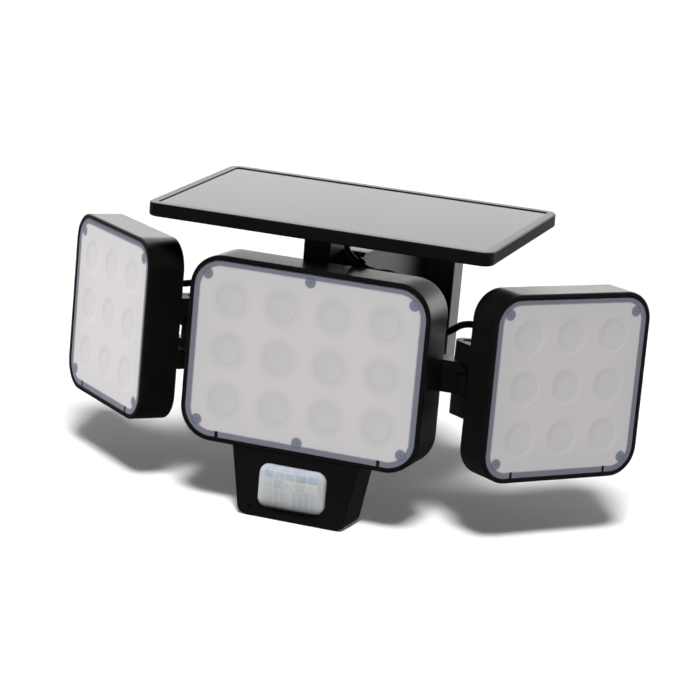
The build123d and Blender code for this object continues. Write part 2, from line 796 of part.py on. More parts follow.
SENSOR_HEAD_DEPTH = SENSOR_D - BACK_SHELL_D / 2
with BuildPart() as sensor_screws:
    with BuildSketch(MAIN.behind(SENSOR_HEAD_DEPTH)):
        with Locations(*SENSOR_SCREWS):
            Circle(SCREW_R)
    extrude(amount=SENSOR_SCREW_L)
    with BuildSketch(MAIN.behind(SENSOR_HEAD_DEPTH)):
        with Locations(*SENSOR_SCREWS):
            Circle(SCREW_HEAD_R)
    extrude(amount=-SCREW_HEAD_H)
    inside = below_main(TOP_SCREW_DEPTH).offset(RIM_T)
    with BuildSketch(inside):
        with Locations((-TOP_SCREW_X, 0), (TOP_SCREW_X, 0)):
            Circle(SCREW_R)
    extrude(amount=-SENSOR_SCREW_L)
    with BuildSketch(inside):
        with Locations((-TOP_SCREW_X, 0), (TOP_SCREW_X, 0)):
            Circle(SCREW_HEAD_R)
    extrude(amount=SCREW_HEAD_H)
keep(sensor_screws, "sensor_screws")

# The window bulges forward as part of an upright cylinder.


def dome_slice(inset):
    """A level slice of the window: a round front and a flat back."""
    half = WINDOW_W / 2 - inset
    back = -SENSOR_T - DOME_FLANGE_T
    with BuildLine() as edge:
        Polyline((-half, 0), (-half, back), (half, back), (half, 0))
        ThreePointArc((half, 0), (0, DOME_BULGE - inset), (-half, 0))
    make_face(edge.edges())


def dome_level(y):
    """A level plane at this height in the main head's face, y out of the lens."""
    at = MAIN.face.from_local_coords((0, y, 0))
    return Plane(origin=at, x_dir=(-1, 0, 0), z_dir=(0, 0, 1))


with BuildPart() as sensor_lens:
    with BuildSketch(dome_level(WINDOW_Y - WINDOW_H / 2)):
        dome_slice(0)
    extrude(amount=WINDOW_H)
    corners = sensor_lens.edges().filter_by(Axis.Y)
    fillet(corners, WINDOW_R)
    fillet(sensor_lens.faces().sort_by(Axis.Y)[0].edges(), DOME_T)
    with BuildSketch(dome_level(WINDOW_Y - WINDOW_H / 2 + DOME_T)):
        dome_slice(DOME_T)
    extrude(amount=WINDOW_H - 2 * DOME_T, mode=Mode.SUBTRACT)
    with BuildSketch(MAIN.behind(SENSOR_T)):
        with Locations((0, WINDOW_Y)):
            RectangleRounded(WINDOW_W + 2 * DOME_FLANGE_W, WINDOW_H + 2 * DOME_FLANGE_W, WINDOW_R)
            Rectangle(WINDOW_W - 2 * WINDOW_R, WINDOW_H - 2 * WINDOW_R, mode=Mode.SUBTRACT)
    extrude(amount=-DOME_FLANGE_T)
keep(sensor_lens, "sensor_lens")

with BuildPart() as sensor_board:
    with BuildSketch(MAIN.behind(SENSOR_BOARD_DEPTH)):
        with Locations((0, SENSOR_TOP_Y - SENSOR_BOARD_DROP)):
            Rectangle(SENSOR_BOARD_W, SENSOR_BOARD_H)
    extrude(amount=-BOARD_T)
keep(sensor_board, "sensor_board")

with BuildPart() as pyro_sensor:
    with BuildSketch(MAIN.behind(SENSOR_BOARD_DEPTH)):
        with Locations((0, WINDOW_Y)):
            Circle(PYRO_FLANGE_R)
    extrude(amount=PYRO_FLANGE_T)
    with BuildSketch(MAIN.behind(SENSOR_BOARD_DEPTH)):
        with Locations((0, WINDOW_Y)):
            Circle(PYRO_R)
    extrude(amount=PYRO_H)
keep(pyro_sensor, "pyro_sensor")

with BuildPart() as light_sensor:
    with BuildSketch(MAIN.behind(SENSOR_BOARD_DEPTH)):
        with Locations((PHOTO_X, SENSOR_TOP_Y - PHOTO_DROP)):
            Circle(PHOTO_R)
    extrude(amount=SENSOR_BOARD_DEPTH - SENSOR_T - TIGHT)
keep(light_sensor, "light_sensor")

# ---- Side heads ----


def yoke_cheeks(lamp, side):
    """The two cheeks on the side head's cover, above and below the main head's knuckle."""
    u = -side * (lamp.width / 2 - KNUCKLE_R)
    depth = lamp.depth + SWIVEL_FROM_SIDE_BACK
    gap = KNUCKLE_H / 2 + TURN_GAP
    cheek_h = YOKE_H / 2 - gap
    middle = lamp.face.origin
    for low in (gap, -YOKE_H / 2):
        level = Plane(origin=middle + Vector(0, 0, low), x_dir=lamp.face.x_dir, z_dir=(0, 0, 1))
        with BuildSketch(level) as profile:
            with Locations((u, (lamp.depth + depth) / 2)):
                Rectangle(2 * KNUCKLE_R, depth - lamp.depth)
            with Locations((u, depth)):
                Circle(KNUCKLE_R)
        extrude(profile.sketch, amount=cheek_h)
    foot = Plane(
        origin=middle - Vector(0, 0, YOKE_H / 2), x_dir=lamp.face.x_dir, z_dir=(0, 0, 1)
    )
    with BuildSketch(foot) as profile:
        with Locations((u, depth)):
            Circle(SWIVEL_BOLT_R + SHAFT_GAP)
    extrude(profile.sketch, amount=YOKE_H, mode=Mode.SUBTRACT)
    with BuildSketch(foot.offset(YOKE_H)) as profile:
        with Locations((u, depth)):
            Circle(SWIVEL_HEAD_R + PASS_GAP)
    extrude(profile.sketch, amount=-SWIVEL_SINK, mode=Mode.SUBTRACT)
    with BuildSketch(foot) as profile:
        with Locations((u, depth)):
            RegularPolygon(SWIVEL_NUT_FLATS / 2 + DROP_IN_GAP, 6, major_radius=False)
    extrude(profile.sketch, amount=SWIVEL_SINK, mode=Mode.SUBTRACT)


def side_cover(lamp, side):
    """A side head's back cover, with the yoke and the cable's collar."""
    plate = lamp_cover(lamp)
    with BuildPart() as cover:
        add(plate.part)
        yoke_cheeks(lamp, side)
        drill_posts(lamp)
        collar(cover_point(lamp, -side * SIDE_COLLAR_X, SIDE_COLLAR_Z), LAMP_CABLE_R)
    return cover


def swivel_bolt(side):
    """The swivel's bolt, its head sunk in the upper cheek."""
    at = swivel_point(side)
    level = Plane(origin=at - Vector(0, 0, YOKE_H / 2), z_dir=(0, 0, 1))
    with BuildPart() as bolt:
        with BuildSketch(level):
            Circle(SWIVEL_BOLT_R)
        extrude(amount=YOKE_H - SWIVEL_SINK)
        with BuildSketch(level.offset(YOKE_H - SWIVEL_SINK)):
            Circle(SWIVEL_HEAD_R)
        extrude(amount=SWIVEL_HEAD_H)
        with BuildSketch(level.offset(YOKE_H - SWIVEL_SINK + SWIVEL_HEAD_H)):
            Rectangle(2 * SWIVEL_BOLT_R, SLOT_W)
            Rectangle(SLOT_W, 2 * SWIVEL_BOLT_R)
        extrude(amount=-SWIVEL_HEAD_H / 2, mode=Mode.SUBTRACT)
    return bolt


def swivel_nut(lamp, side):
    """The swivel's nut, held in the lower cheek."""
    at = swivel_point(side)
    foot = Plane(
        origin=at - Vector(0, 0, YOKE_H / 2 - SWIVEL_SINK),
        x_dir=lamp.face.x_dir,
        z_dir=(0, 0, 1),
    )
    with BuildPart() as nut:
        with BuildSketch(foot):
            RegularPolygon(SWIVEL_NUT_FLATS / 2, 6, major_radius=False)
            Circle(SWIVEL_BOLT_R + SHAFT_GAP, mode=Mode.SUBTRACT)
        extrude(amount=-SWIVEL_SINK)
    return nut


for lamp, side in SIDES:
    keep(lamp_housing(lamp), f"{lamp.name}_housing")
    keep(lamp_lens(lamp), f"{lamp.name}_lens")
    keep(lamp_reflector(lamp), f"{lamp.name}_reflector")
    keep(lamp_board(lamp), f"{lamp.name}_led_board")
    keep(lamp_leds(lamp), f"{lamp.name}_leds")
    keep(lamp_gasket(lamp), f"{lamp.name}_cover_gasket")
    keep(lamp_screws(lamp), f"{lamp.name}_cover_screws")
    keep(side_cover(lamp, side), f"{lamp.name}_back_cover")
    keep(swivel_bolt(side), f"{lamp.name}_swivel_bolt")
    keep(swivel_nut(lamp, side), f"{lamp.name}_swivel_nut")

# ---- Wall box and arm ----

WALL_FRONT_Y = -WALL_PLATE_T - WALL_BASE_D
ARM_H = ARM_TOP_Z - ARM_ROOT_Z
ARM_MID_Z = (ARM_TOP_Z + ARM_ROOT_Z) / 2
WALL_BACK = Plane(origin=(0, 0, 0), x_dir=(-1, 0, 0), z_dir=(0, 1, 0))
WALL_SEAT = WALL_BACK.offset(-WALL_PLATE_T)
WALL_INNER = Plane(
    origin=(0, WALL_FRONT_Y + WALL_BASE_T, 0), x_dir=(-1, 0, 0), z_dir=(0, 1, 0)
)
ARM_SCREWS = [
    (i * (ARM_W / 2 - ARM_SCREW_INSET), ARM_MID_Z + j * (ARM_H / 2 - ARM_SCREW_INSET))
    for i in (-1, 1)
    for j in (-1, 1)
]

with BuildPart() as wall_plate:
    with BuildSketch(WALL_BACK):
        RectangleRounded(WALL_W, WALL_H, WALL_CORNER_R)
        with GridLocations(WALL_SCREW_DX, WALL_SCREW_DZ, 2, 2):
            Circle(WALL_SCREW_R, mode=Mode.SUBTRACT)
    extrude(amount=-WALL_PLATE_T)
keep(wall_plate, "wall_plate")

with BuildPart() as wall_base:
    with BuildSketch(WALL_SEAT):
        RectangleRounded(WALL_W, WALL_H, WALL_CORNER_R)
    extrude(amount=-WALL_BASE_D)
    fillet(wall_base.faces().sort_by(Axis.Y)[0].edges(), WALL_EDGE_R)
    with BuildSketch(WALL_SEAT):
        RectangleRounded(
            WALL_W - 2 * WALL_BASE_T, WALL_H - 2 * WALL_BASE_T, WALL_CORNER_R - WALL_BASE_T
        )
    extrude(amount=WALL_BASE_T - WALL_BASE_D, mode=Mode.SUBTRACT)
    with BuildSketch(WALL_SEAT):
        with GridLocations(WALL_SCREW_DX, WALL_SCREW_DZ, 2, 2):
            Circle(WALL_SCREW_R + WALL_TUBE_T)
    extrude(amount=-(WALL_BASE_D - WALL_BASE_T))
    with BuildSketch(WALL_SEAT):
        with GridLocations(WALL_SCREW_DX, WALL_SCREW_DZ, 2, 2):
            Circle(WALL_SCREW_R)
    extrude(amount=-WALL_BASE_D, mode=Mode.SUBTRACT)
    with BuildSketch(WALL_INNER):
        with Locations(*ARM_SCREWS):
            Circle(SCREW_R + PASS_GAP)
    extrude(amount=-WALL_BASE_T, mode=Mode.SUBTRACT)
keep(wall_base, "wall_base")


LAP_BACK_Y = PANEL_AXIS_Y + PANEL_LOBE_R + TURN_GAP
LAP_SIDE_X = POST_OFFSET + TURN_GAP
ARM_FRONT_Y = PANEL_AXIS_Y - PANEL_LOBE_R
CHANNEL_FRONT_Y = LAP_BACK_Y + ARM_WALL_T
CHANNEL_BACK_Y = WALL_FRONT_Y - ARM_ROOT_T
CLIP_AT = Vector(ARM_W / 2 + CLIP_OUT, ARM_FRONT_Y - CLIP_AHEAD, ARM_TOP_Z - CLIP_DROP)
CLIP_ALONG = Vector(CLIP_RUN, 0, -CLIP_FALL).normalized()
CLIP_R = PANEL_CABLE_R + CABLE_GAP + CLIP_T

with BuildPart() as arm:
    with BuildSketch(Plane.YZ.offset(-ARM_W / 2)):
        with BuildLine():
            Polyline(
                (TILT_Y, TILT_Z - TILT_LOBE_R),
                (WALL_FRONT_Y, ARM_ROOT_Z),
                (WALL_FRONT_Y, ARM_TOP_Z),
                (PANEL_AXIS_Y, ARM_TOP_Z),
                (ARM_FRONT_Y, PANEL_AXIS_Z),
                (TILT_Y - TILT_LOBE_R, TILT_Z),
                close=True,
            )
        make_face()
        with Locations((TILT_Y, TILT_Z)):
            Circle(TILT_LOBE_R)
        with Locations((PANEL_AXIS_Y, PANEL_AXIS_Z)):
            Circle(PANEL_LOBE_R)
    extrude(amount=ARM_W)
    with BuildSketch(Plane.YZ.offset(-ARM_W / 2)):
        with Locations((PANEL_AXIS_Y, PANEL_AXIS_Z)):
            Circle(PANEL_LOBE_R + TURN_GAP)
            with Locations((0, PANEL_LOBE_R)):
                Rectangle(2 * (PANEL_LOBE_R + TURN_GAP), 2 * PANEL_LOBE_R)
            with Locations((-PANEL_LOBE_R, 0)):
                Rectangle(2 * PANEL_LOBE_R, 2 * (PANEL_LOBE_R + TURN_GAP))
    extrude(amount=LAP_SIDE_X + ARM_W / 2, mode=Mode.SUBTRACT)
    with BuildSketch(Plane.XY.offset(ARM_TOP_Z - ARM_WALL_T)):
        with Locations((0, (CHANNEL_FRONT_Y + CHANNEL_BACK_Y) / 2)):
            Rectangle(ARM_W - 2 * ARM_WALL_T, CHANNEL_BACK_Y - CHANNEL_FRONT_Y)
    extrude(amount=-ARM_H, mode=Mode.SUBTRACT)
    with BuildSketch(Plane.YZ.offset(-ARM_W / 2)):
        with Locations((TILT_Y, TILT_Z), (PANEL_AXIS_Y, PANEL_AXIS_Z)):
            Circle(BOLT_R + SHAFT_GAP)
    extrude(amount=ARM_W, mode=Mode.SUBTRACT)
    with BuildSketch(WALL_BACK.offset(WALL_FRONT_Y)):
        with Locations(*ARM_SCREWS):
            Circle(PILOT_R)
    extrude(amount=-(ARM_SCREW_L - WALL_BASE_T), mode=Mode.SUBTRACT)
    with BuildSketch(Plane.XY.offset(CLIP_AT.Z - CLIP_L / 2)):
        with Locations((CLIP_AT.X - CLIP_R / 2, CLIP_AT.Y + CLIP_AHEAD)):
            Rectangle(CLIP_R, 2 * CLIP_AHEAD)
    extrude(amount=CLIP_L)
    clip_start = Plane(origin=CLIP_AT - CLIP_ALONG * (CLIP_L / 2), z_dir=CLIP_ALONG)
    with BuildSketch(clip_start):
        Circle(CLIP_R)
    extrude(amount=CLIP_L)
    with BuildSketch(clip_start.offset(-CLIP_L)):
        Circle(PANEL_CABLE_R + CABLE_GAP)
    extrude(amount=3 * CLIP_L, mode=Mode.SUBTRACT)
keep(arm, "arm")

with BuildPart() as arm_screws:
    with BuildSketch(WALL_INNER):
        with Locations(*ARM_SCREWS):
            Circle(SCREW_R)
    extrude(amount=-ARM_SCREW_L)
    with BuildSketch(WALL_INNER):
        with Locations(*ARM_SCREWS):
            Circle(SCREW_HEAD_R)
    extrude(amount=SCREW_HEAD_H)
keep(arm_screws, "arm_screws")


def cross_bolt(y, z, head_x, nut_x):
    """A bolt along X, its head's inner face at head_x and its nut's at nut_x."""
    with BuildPart() as bolt:
        with BuildSketch(Plane(origin=(head_x, y, z), z_dir=(1, 0, 0))):
            Circle(BOLT_R)
        extrude(amount=nut_x - head_x + NUT_H + 1)
        with BuildSketch(Plane(origin=(head_x, y, z), z_dir=(1, 0, 0))):
            Circle(BOLT_HEAD_R)
        extrude(amount=-BOLT_HEAD_H)
        with BuildSketch(Plane(origin=(head_x - BOLT_HEAD_H, y, z), z_dir=(1, 0, 0))):
            RegularPolygon(BOLT_R * 0.8, 6)
        extrude(amount=BOLT_HEAD_H / 2, mode=Mode.SUBTRACT)
    return bolt


def cross_nut(y, z, nut_x):
    """The nut of a bolt along X."""
    with BuildPart() as nut:
        with BuildSketch(Plane(origin=(nut_x, y, z), z_dir=(1, 0, 0))):
            RegularPolygon(NUT_FLATS / 2, 6, major_radius=False)
            Circle(BOLT_R + SHAFT_GAP, mode=Mode.SUBTRACT)
        extrude(amount=NUT_H)
    return nut


EAR_OUTER_X = TILT_EAR_X + TILT_EAR_T
POST_LEFT_X = POST_OFFSET - POST_W
PANEL_NUT_X = ARM_W / 2 + TURN_GAP
keep(cross_bolt(TILT_Y, TILT_Z, -EAR_OUTER_X, EAR_OUTER_X), "tilt_bolt")
keep(cross_nut(TILT_Y, TILT_Z, EAR_OUTER_X), "tilt_nut")
keep(cross_bolt(PANEL_AXIS_Y, PANEL_AXIS_Z, POST_LEFT_X, PANEL_NUT_X), "panel_bolt")
keep(cross_nut(PANEL_AXIS_Y, PANEL_AXIS_Z, PANEL_NUT_X), "panel_nut")

# ---- Solar panel ----

TILT_RAD = math.radians(PANEL_TILT)
PANEL_TOP = Plane(
    origin=(0, PANEL_AXIS_Y + PANEL_BACK_OF_AXIS, PANEL_AXIS_Z + PANEL_ABOVE_AXIS),
    x_dir=(1, 0, 0),
    z_dir=(0, -math.sin(TILT_RAD), math.cos(TILT_RAD)),
)
PANEL_UNDER = PANEL_TOP.offset(-PANEL_T)
GLASS_W = PANEL_W - 2 * PANEL_BORDER
GLASS_L = PANEL_L - 2 * PANEL_BORDER
GLASS_CORNER_R = PANEL_CORNER_R - PANEL_BORDER
STACK_T = GLASS_RECESS + GLASS_T + CELL_T + BACKSHEET_T
CELLS_AREA_W = GLASS_W - 2 * SOLAR_MARGIN
CELLS_AREA_L = GLASS_L - 2 * SOLAR_MARGIN
SOLAR_CELL_W = (CELLS_AREA_W - (SOLAR_COLUMNS - 1) * SOLAR_GAP) / SOLAR_COLUMNS
SOLAR_CELL_L = (CELLS_AREA_L - (SOLAR_ROWS - 1) * SOLAR_GAP) / SOLAR_ROWS
POST_MID = PANEL_UNDER.to_local_coords(
    Vector(POST_OFFSET - POST_W / 2, (POST_FRONT_Y + POST_BACK_Y) / 2, PANEL_AXIS_Z)
)
FLANGE_AT = (POST_MID.X, POST_MID.Y)
FLANGE_SCREWS = [
    (
        POST_MID.X + i * (FLANGE_W / 2 - FLANGE_SCREW_INSET),
        POST_MID.Y + j * (FLANGE_L / 2 - FLANGE_SCREW_INSET),
    )
    for i in (-1, 1)
    for j in (-1, 1)
]
PANEL_EXIT = (5.5, -24.5)  # the cable's collar, in the panel's own plane

with BuildPart() as panel_frame:
    with BuildSketch(PANEL_TOP):
        RectangleRounded(PANEL_W, PANEL_L, PANEL_CORNER_R)
    extrude(amount=-PANEL_T)
    panel_along = Axis(PANEL_TOP.origin, PANEL_TOP.z_dir)
    fillet(panel_frame.edges().group_by(panel_along)[-1], PANEL_EDGE_R)
    fillet(panel_frame.edges().group_by(panel_along)[0], PANEL_EDGE_R)
    with BuildSketch(PANEL_TOP):
        RectangleRounded(GLASS_W, GLASS_L, GLASS_CORNER_R)
    extrude(amount=-STACK_T, mode=Mode.SUBTRACT)
    with BuildSketch(PANEL_UNDER):
        with Locations(*FLANGE_SCREWS):
            Circle(PILOT_R)
    extrude(amount=PANEL_PILOT_L, mode=Mode.SUBTRACT)
    exit_plane = Plane(
        origin=PANEL_UNDER.from_local_coords((*PANEL_EXIT, 0)),
        x_dir=PANEL_UNDER.x_dir,
        z_dir=-PANEL_UNDER.z_dir,
    )
    with BuildSketch(exit_plane):
        Circle(PANEL_CABLE_R + COLLAR_T)
    extrude(amount=COLLAR_H)
    with BuildSketch(exit_plane.offset(COLLAR_H)):
        Circle(PANEL_CABLE_R + CABLE_GAP)
    extrude(amount=-(COLLAR_H + PANEL_PILOT_L), mode=Mode.SUBTRACT)
keep(panel_frame, "panel_frame")

with BuildPart() as panel_glass:
    with BuildSketch(PANEL_TOP.offset(-GLASS_RECESS)):
        RectangleRounded(GLASS_W - 2 * DROP_IN_GAP, GLASS_L - 2 * DROP_IN_GAP, GLASS_CORNER_R)
    extrude(amount=-GLASS_T)
keep(panel_glass, "panel_glass")

with BuildPart() as solar_cells:
    with BuildSketch(PANEL_TOP.offset(-GLASS_RECESS - GLASS_T)):
        with GridLocations(
            SOLAR_CELL_W + SOLAR_GAP, SOLAR_CELL_L + SOLAR_GAP, SOLAR_COLUMNS, SOLAR_ROWS
        ):
            Rectangle(SOLAR_CELL_W, SOLAR_CELL_L)
    extrude(amount=-CELL_T)
keep(solar_cells, "solar_cells")

with BuildPart() as panel_backsheet:
    with BuildSketch(PANEL_TOP.offset(-GLASS_RECESS - GLASS_T - CELL_T)):
        RectangleRounded(GLASS_W - 2 * DROP_IN_GAP, GLASS_L - 2 * DROP_IN_GAP, GLASS_CORNER_R)
    extrude(amount=-BACKSHEET_T)
keep(panel_backsheet, "panel_backsheet")

LOBE_SLANT = math.radians(37)
with BuildPart() as panel_post:
    with BuildSketch(Plane.YZ.offset(POST_LEFT_X)):
        with BuildLine():
            Polyline(
                (POST_FRONT_Y, PANEL_TOP.origin.Z),
                (POST_FRONT_Y, POST_WAIST_Z),
                (
                    PANEL_AXIS_Y - PANEL_LOBE_R * math.cos(LOBE_SLANT),
                    PANEL_AXIS_Z - PANEL_LOBE_R * math.sin(LOBE_SLANT),
                ),
                (PANEL_AXIS_Y, PANEL_AXIS_Z - PANEL_LOBE_R),
                (POST_BACK_Y, PANEL_AXIS_Z),
                (POST_BACK_Y, PANEL_TOP.origin.Z),
                close=True,
            )
        make_face()
        with Locations((PANEL_AXIS_Y, PANEL_AXIS_Z)):
            Circle(PANEL_LOBE_R)
    extrude(amount=POST_W)
    with BuildSketch(Plane.YZ.offset(POST_LEFT_X)):
        with Locations((PANEL_AXIS_Y, PANEL_AXIS_Z)):
            Circle(BOLT_R + SHAFT_GAP)
    extrude(amount=POST_W, mode=Mode.SUBTRACT)
    with BuildSketch(PANEL_UNDER.offset(-FLANGE_T)):
        with Locations(FLANGE_AT):
            Rectangle(2 * FLANGE_W, 2 * FLANGE_L)
    extrude(amount=PANEL_ABOVE_AXIS, mode=Mode.SUBTRACT)
    with BuildSketch(PANEL_UNDER):
        with Locations(FLANGE_AT):
            RectangleRounded(FLANGE_W, FLANGE_L, FLANGE_CORNER_R)
        with Locations(*FLANGE_SCREWS):
            Circle(SCREW_R + PASS_GAP, mode=Mode.SUBTRACT)
    extrude(amount=-FLANGE_T)
    with BuildSketch(PANEL_UNDER.offset(-FLANGE_T)):
        with Locations(PANEL_EXIT):
            Circle(PANEL_CABLE_R + COLLAR_T + TURN_GAP)
    extrude(amount=FLANGE_T, mode=Mode.SUBTRACT)
keep(panel_post, "panel_post")

with BuildPart() as panel_screws:
    with BuildSketch(PANEL_UNDER.offset(-FLANGE_T)):
        with Locations(*FLANGE_SCREWS):
            Circle(SCREW_R)
    extrude(amount=FLANGE_T + PANEL_PILOT_L)
    with BuildSketch(PANEL_UNDER.offset(-FLANGE_T)):
        with Locations(*FLANGE_SCREWS):
            Circle(SCREW_HEAD_R)
    extrude(amount=-SCREW_HEAD_H)
keep(panel_screws, "panel_screws")

# ---- Cables ----


def bend_radii(points):
    """Each corner's radius: as large as the shorter of its two runs allows."""
    radii = []
    for before, here, after in zip(points, points[1:], points[2:]):
        turn = math.radians((here - before).get_angle(after - here))
        shorter = min((here - before).length, (after - here).length)
        radii.append(BEND_SHARE * shorter / math.tan(turn / 2))
    return radii


def cable(points, radius, name):
    """A round cable along straight runs joined by arcs."""
    radii = bend_radii(points)
    with BuildPart() as lead:
        with BuildLine() as route:
            FilletPolyline(*points, radius=radii)
        with BuildSketch(Plane(origin=route.wire() @ 0, z_dir=route.wire() % 0)):
            Circle(radius)
        sweep()
    length = route.wire().length
    share = lead.part.volume / (math.pi * radius**2 * length)
    print(f"{name}: length {length:.1f}, volume share {share:.4f}")
    print("  radii", ", ".join(f"{r:.1f}" for r in radii))
    return lead


def lamp_cable_route(lamp, side):
    """From the main head's collar, over the swivel, to the side head's collar."""
    start = cover_point(MAIN, side * LAMP_COLLAR_X, LAMP_COLLAR_Z)
    end = cover_point(lamp, -side * SIDE_COLLAR_X, SIDE_COLLAR_Z)
    pivot = swivel_point(side)
    over = pivot.Z + YOKE_H / 2 + LAMP_OVER_YOKE * LAMP_CABLE_R
    return [
        start.origin,
        start.origin + start.z_dir * LAMP_LEAD_OUT,
        Vector(
            pivot.X - side * LAMP_RISE_IN,
            start.origin.Y + LAMP_RISE_BACK,
            over - LAMP_RISE_DROP,
        ),
        Vector(
            pivot.X - side * LAMP_TOP_IN,
            pivot.Y + LAMP_TOP_BACK,
            over + LAMP_TOP_RISE,
        ),
        end.origin + end.z_dir * LAMP_LEAD_OUT,
        end.origin,
    ]


for lamp, side in SIDES:
    keep(cable(lamp_cable_route(lamp, side), LAMP_CABLE_R, lamp.name), f"{lamp.name}_cable")

panel_exit = exit_plane.origin
keep(
    cable(
        [
            panel_exit,
            panel_exit + exit_plane.z_dir * PANEL_LEAD_OUT,
            CLIP_AT - CLIP_ALONG * CLIP_LEAD_OUT,
            CLIP_AT,
        ],
        PANEL_CABLE_R,
        "panel_cable",
    ),
    "panel_cable",
)

main_exit = cover_point(MAIN, MAIN_COLLAR_X, MAIN_COLLAR_Z)
keep(
    cable(
        [
            CLIP_AT,
            CLIP_AT + CLIP_ALONG * CLIP_LEAD_OUT,
            CLIP_AT + Vector(*SLACK_START),
            CLIP_AT + Vector(*SLACK_END),
            main_exit.origin + Vector(*DROP_START),
            main_exit.origin + Vector(*DROP_END),
            main_exit.origin,
        ],
        PANEL_CABLE_R,
        "panel_cable_lower",
    ),
    "panel_cable_lower",
)
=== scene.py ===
import json
import math

import bpy
from mathutils import Matrix, Vector


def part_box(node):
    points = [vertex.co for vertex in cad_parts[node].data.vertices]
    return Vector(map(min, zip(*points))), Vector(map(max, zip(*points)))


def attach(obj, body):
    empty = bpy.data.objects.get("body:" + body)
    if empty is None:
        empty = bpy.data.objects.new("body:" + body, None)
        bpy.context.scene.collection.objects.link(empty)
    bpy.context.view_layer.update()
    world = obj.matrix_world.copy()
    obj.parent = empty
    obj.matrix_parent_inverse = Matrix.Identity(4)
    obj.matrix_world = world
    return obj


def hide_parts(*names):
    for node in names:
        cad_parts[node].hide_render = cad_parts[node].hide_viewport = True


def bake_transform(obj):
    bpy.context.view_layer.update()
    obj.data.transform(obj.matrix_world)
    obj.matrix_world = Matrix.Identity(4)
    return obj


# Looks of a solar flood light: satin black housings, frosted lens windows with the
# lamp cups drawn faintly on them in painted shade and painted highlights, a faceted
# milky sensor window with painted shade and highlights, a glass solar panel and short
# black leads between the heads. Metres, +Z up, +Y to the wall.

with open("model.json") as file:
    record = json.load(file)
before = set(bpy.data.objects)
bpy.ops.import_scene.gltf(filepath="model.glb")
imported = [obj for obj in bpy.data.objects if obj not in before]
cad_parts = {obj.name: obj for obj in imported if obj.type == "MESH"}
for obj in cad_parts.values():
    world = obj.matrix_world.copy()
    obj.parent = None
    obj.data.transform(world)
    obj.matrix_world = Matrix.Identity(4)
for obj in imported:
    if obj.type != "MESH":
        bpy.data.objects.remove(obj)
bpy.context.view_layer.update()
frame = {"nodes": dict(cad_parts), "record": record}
nodes = frame["nodes"]

MM = 0.001
UP = Vector((0, 0, 1))

# ---- Lamp windows, in millimetres, as the housings hold them ----
# yaw is how far the head is turned at rest, in degrees
LENS_INSET = 2.55  # from the head's outline to the window's outline
BAND_W = 3.15  # the housing's shelf, drawn round the window's border
LUG_R = 3.1
LUG_DOT_R = 0.4  # the screw's middle, darker than the lug
CUP_R = 9.6
CUP_FLOOR_R = 6.3
CUP_ARC_R = 3.3  # radius of the inner painted highlight arc on each cup's floor
LIT_FROM = (0.8, 0.6)  # across and down: the side of each cup painted as lit; the other side is painted in shade
EDGE_SHADE_REACH = 24.0  # how far in from its outline the painted shade near a window's border reaches
# For each window: how strong the painted light and shade on its cup rims is, how bright its painted
# arc-shaped highlights are, how dark the painted shade in its cups is, and how softly that shade
# ends
WINDOWS = {
    "main": {
        "yaw": 0.0,
        "size": (135.0, 100.0),
        "corner": 18.0,
        "columns": 4,
        "pitch": (29.0, 27.0),
        "corner_lug": (58.0, 39.5),
        "middle_lug": 43.0,
        "rim": 0.02,
        "arcs": 0.08,
        "depth": 0.34,
        "spread": 3.4,
    },
    "right": {
        "yaw": 53.1,
        "size": (100.0, 100.0),
        "corner": 16.0,
        "columns": 3,
        "pitch": (27.0, 27.0),
        "corner_lug": (40.5, 39.5),
        "middle_lug": 0.0,
        "rim": 0.10,
        "arcs": 0.03,
        "depth": 0.13,
        "spread": 1.0,
    },
    "left": {
        "yaw": -40.6,
        "size": (100.0, 100.0),
        "corner": 16.0,
        "columns": 3,
        "pitch": (27.0, 27.0),
        "corner_lug": (40.5, 39.5),
        "middle_lug": 0.0,
        "rim": 0.10,
        "arcs": 0.03,
        "depth": 0.13,
        "spread": 1.0,
    },
}

# ---- Sensor window, in millimetres ----
PIR_X, PIR_Y, PIR_Z = 0.0, -166.0, -83.0
PIR_W, PIR_H = 37.6, 23.6
PIR_R = 5.3
PIR_BULGE = 4.5
PIR_FACET = 0.07  # how far each lenslet stands out of the dome
PIR_WALL = 1.0
GRID_HALF_W = 15.4  # the lenslets cover the middle of the dome
GRID_TOP, GRID_FOOT = 9.6, -9.4
# share of the grid's height, number of lenslets, and how bright their row is
PIR_ROWS = ((0.22, 5, 0.3), (0.27, 5, 0.62), (0.51, 9, 0.5))
GROOVE_W = 0.32
PIR_STEP = 0.25

# ---- Solar cells, in millimetres ----
CELL_COLUMNS, CELL_ROWS = 6, 2
CELL_MARGIN = 3.0
CELL_GAP = 0.6
FINGER_PITCH = 2.0
BUSBAR_HALF_W = 0.35
BUSBAR_EDGE = 0.55

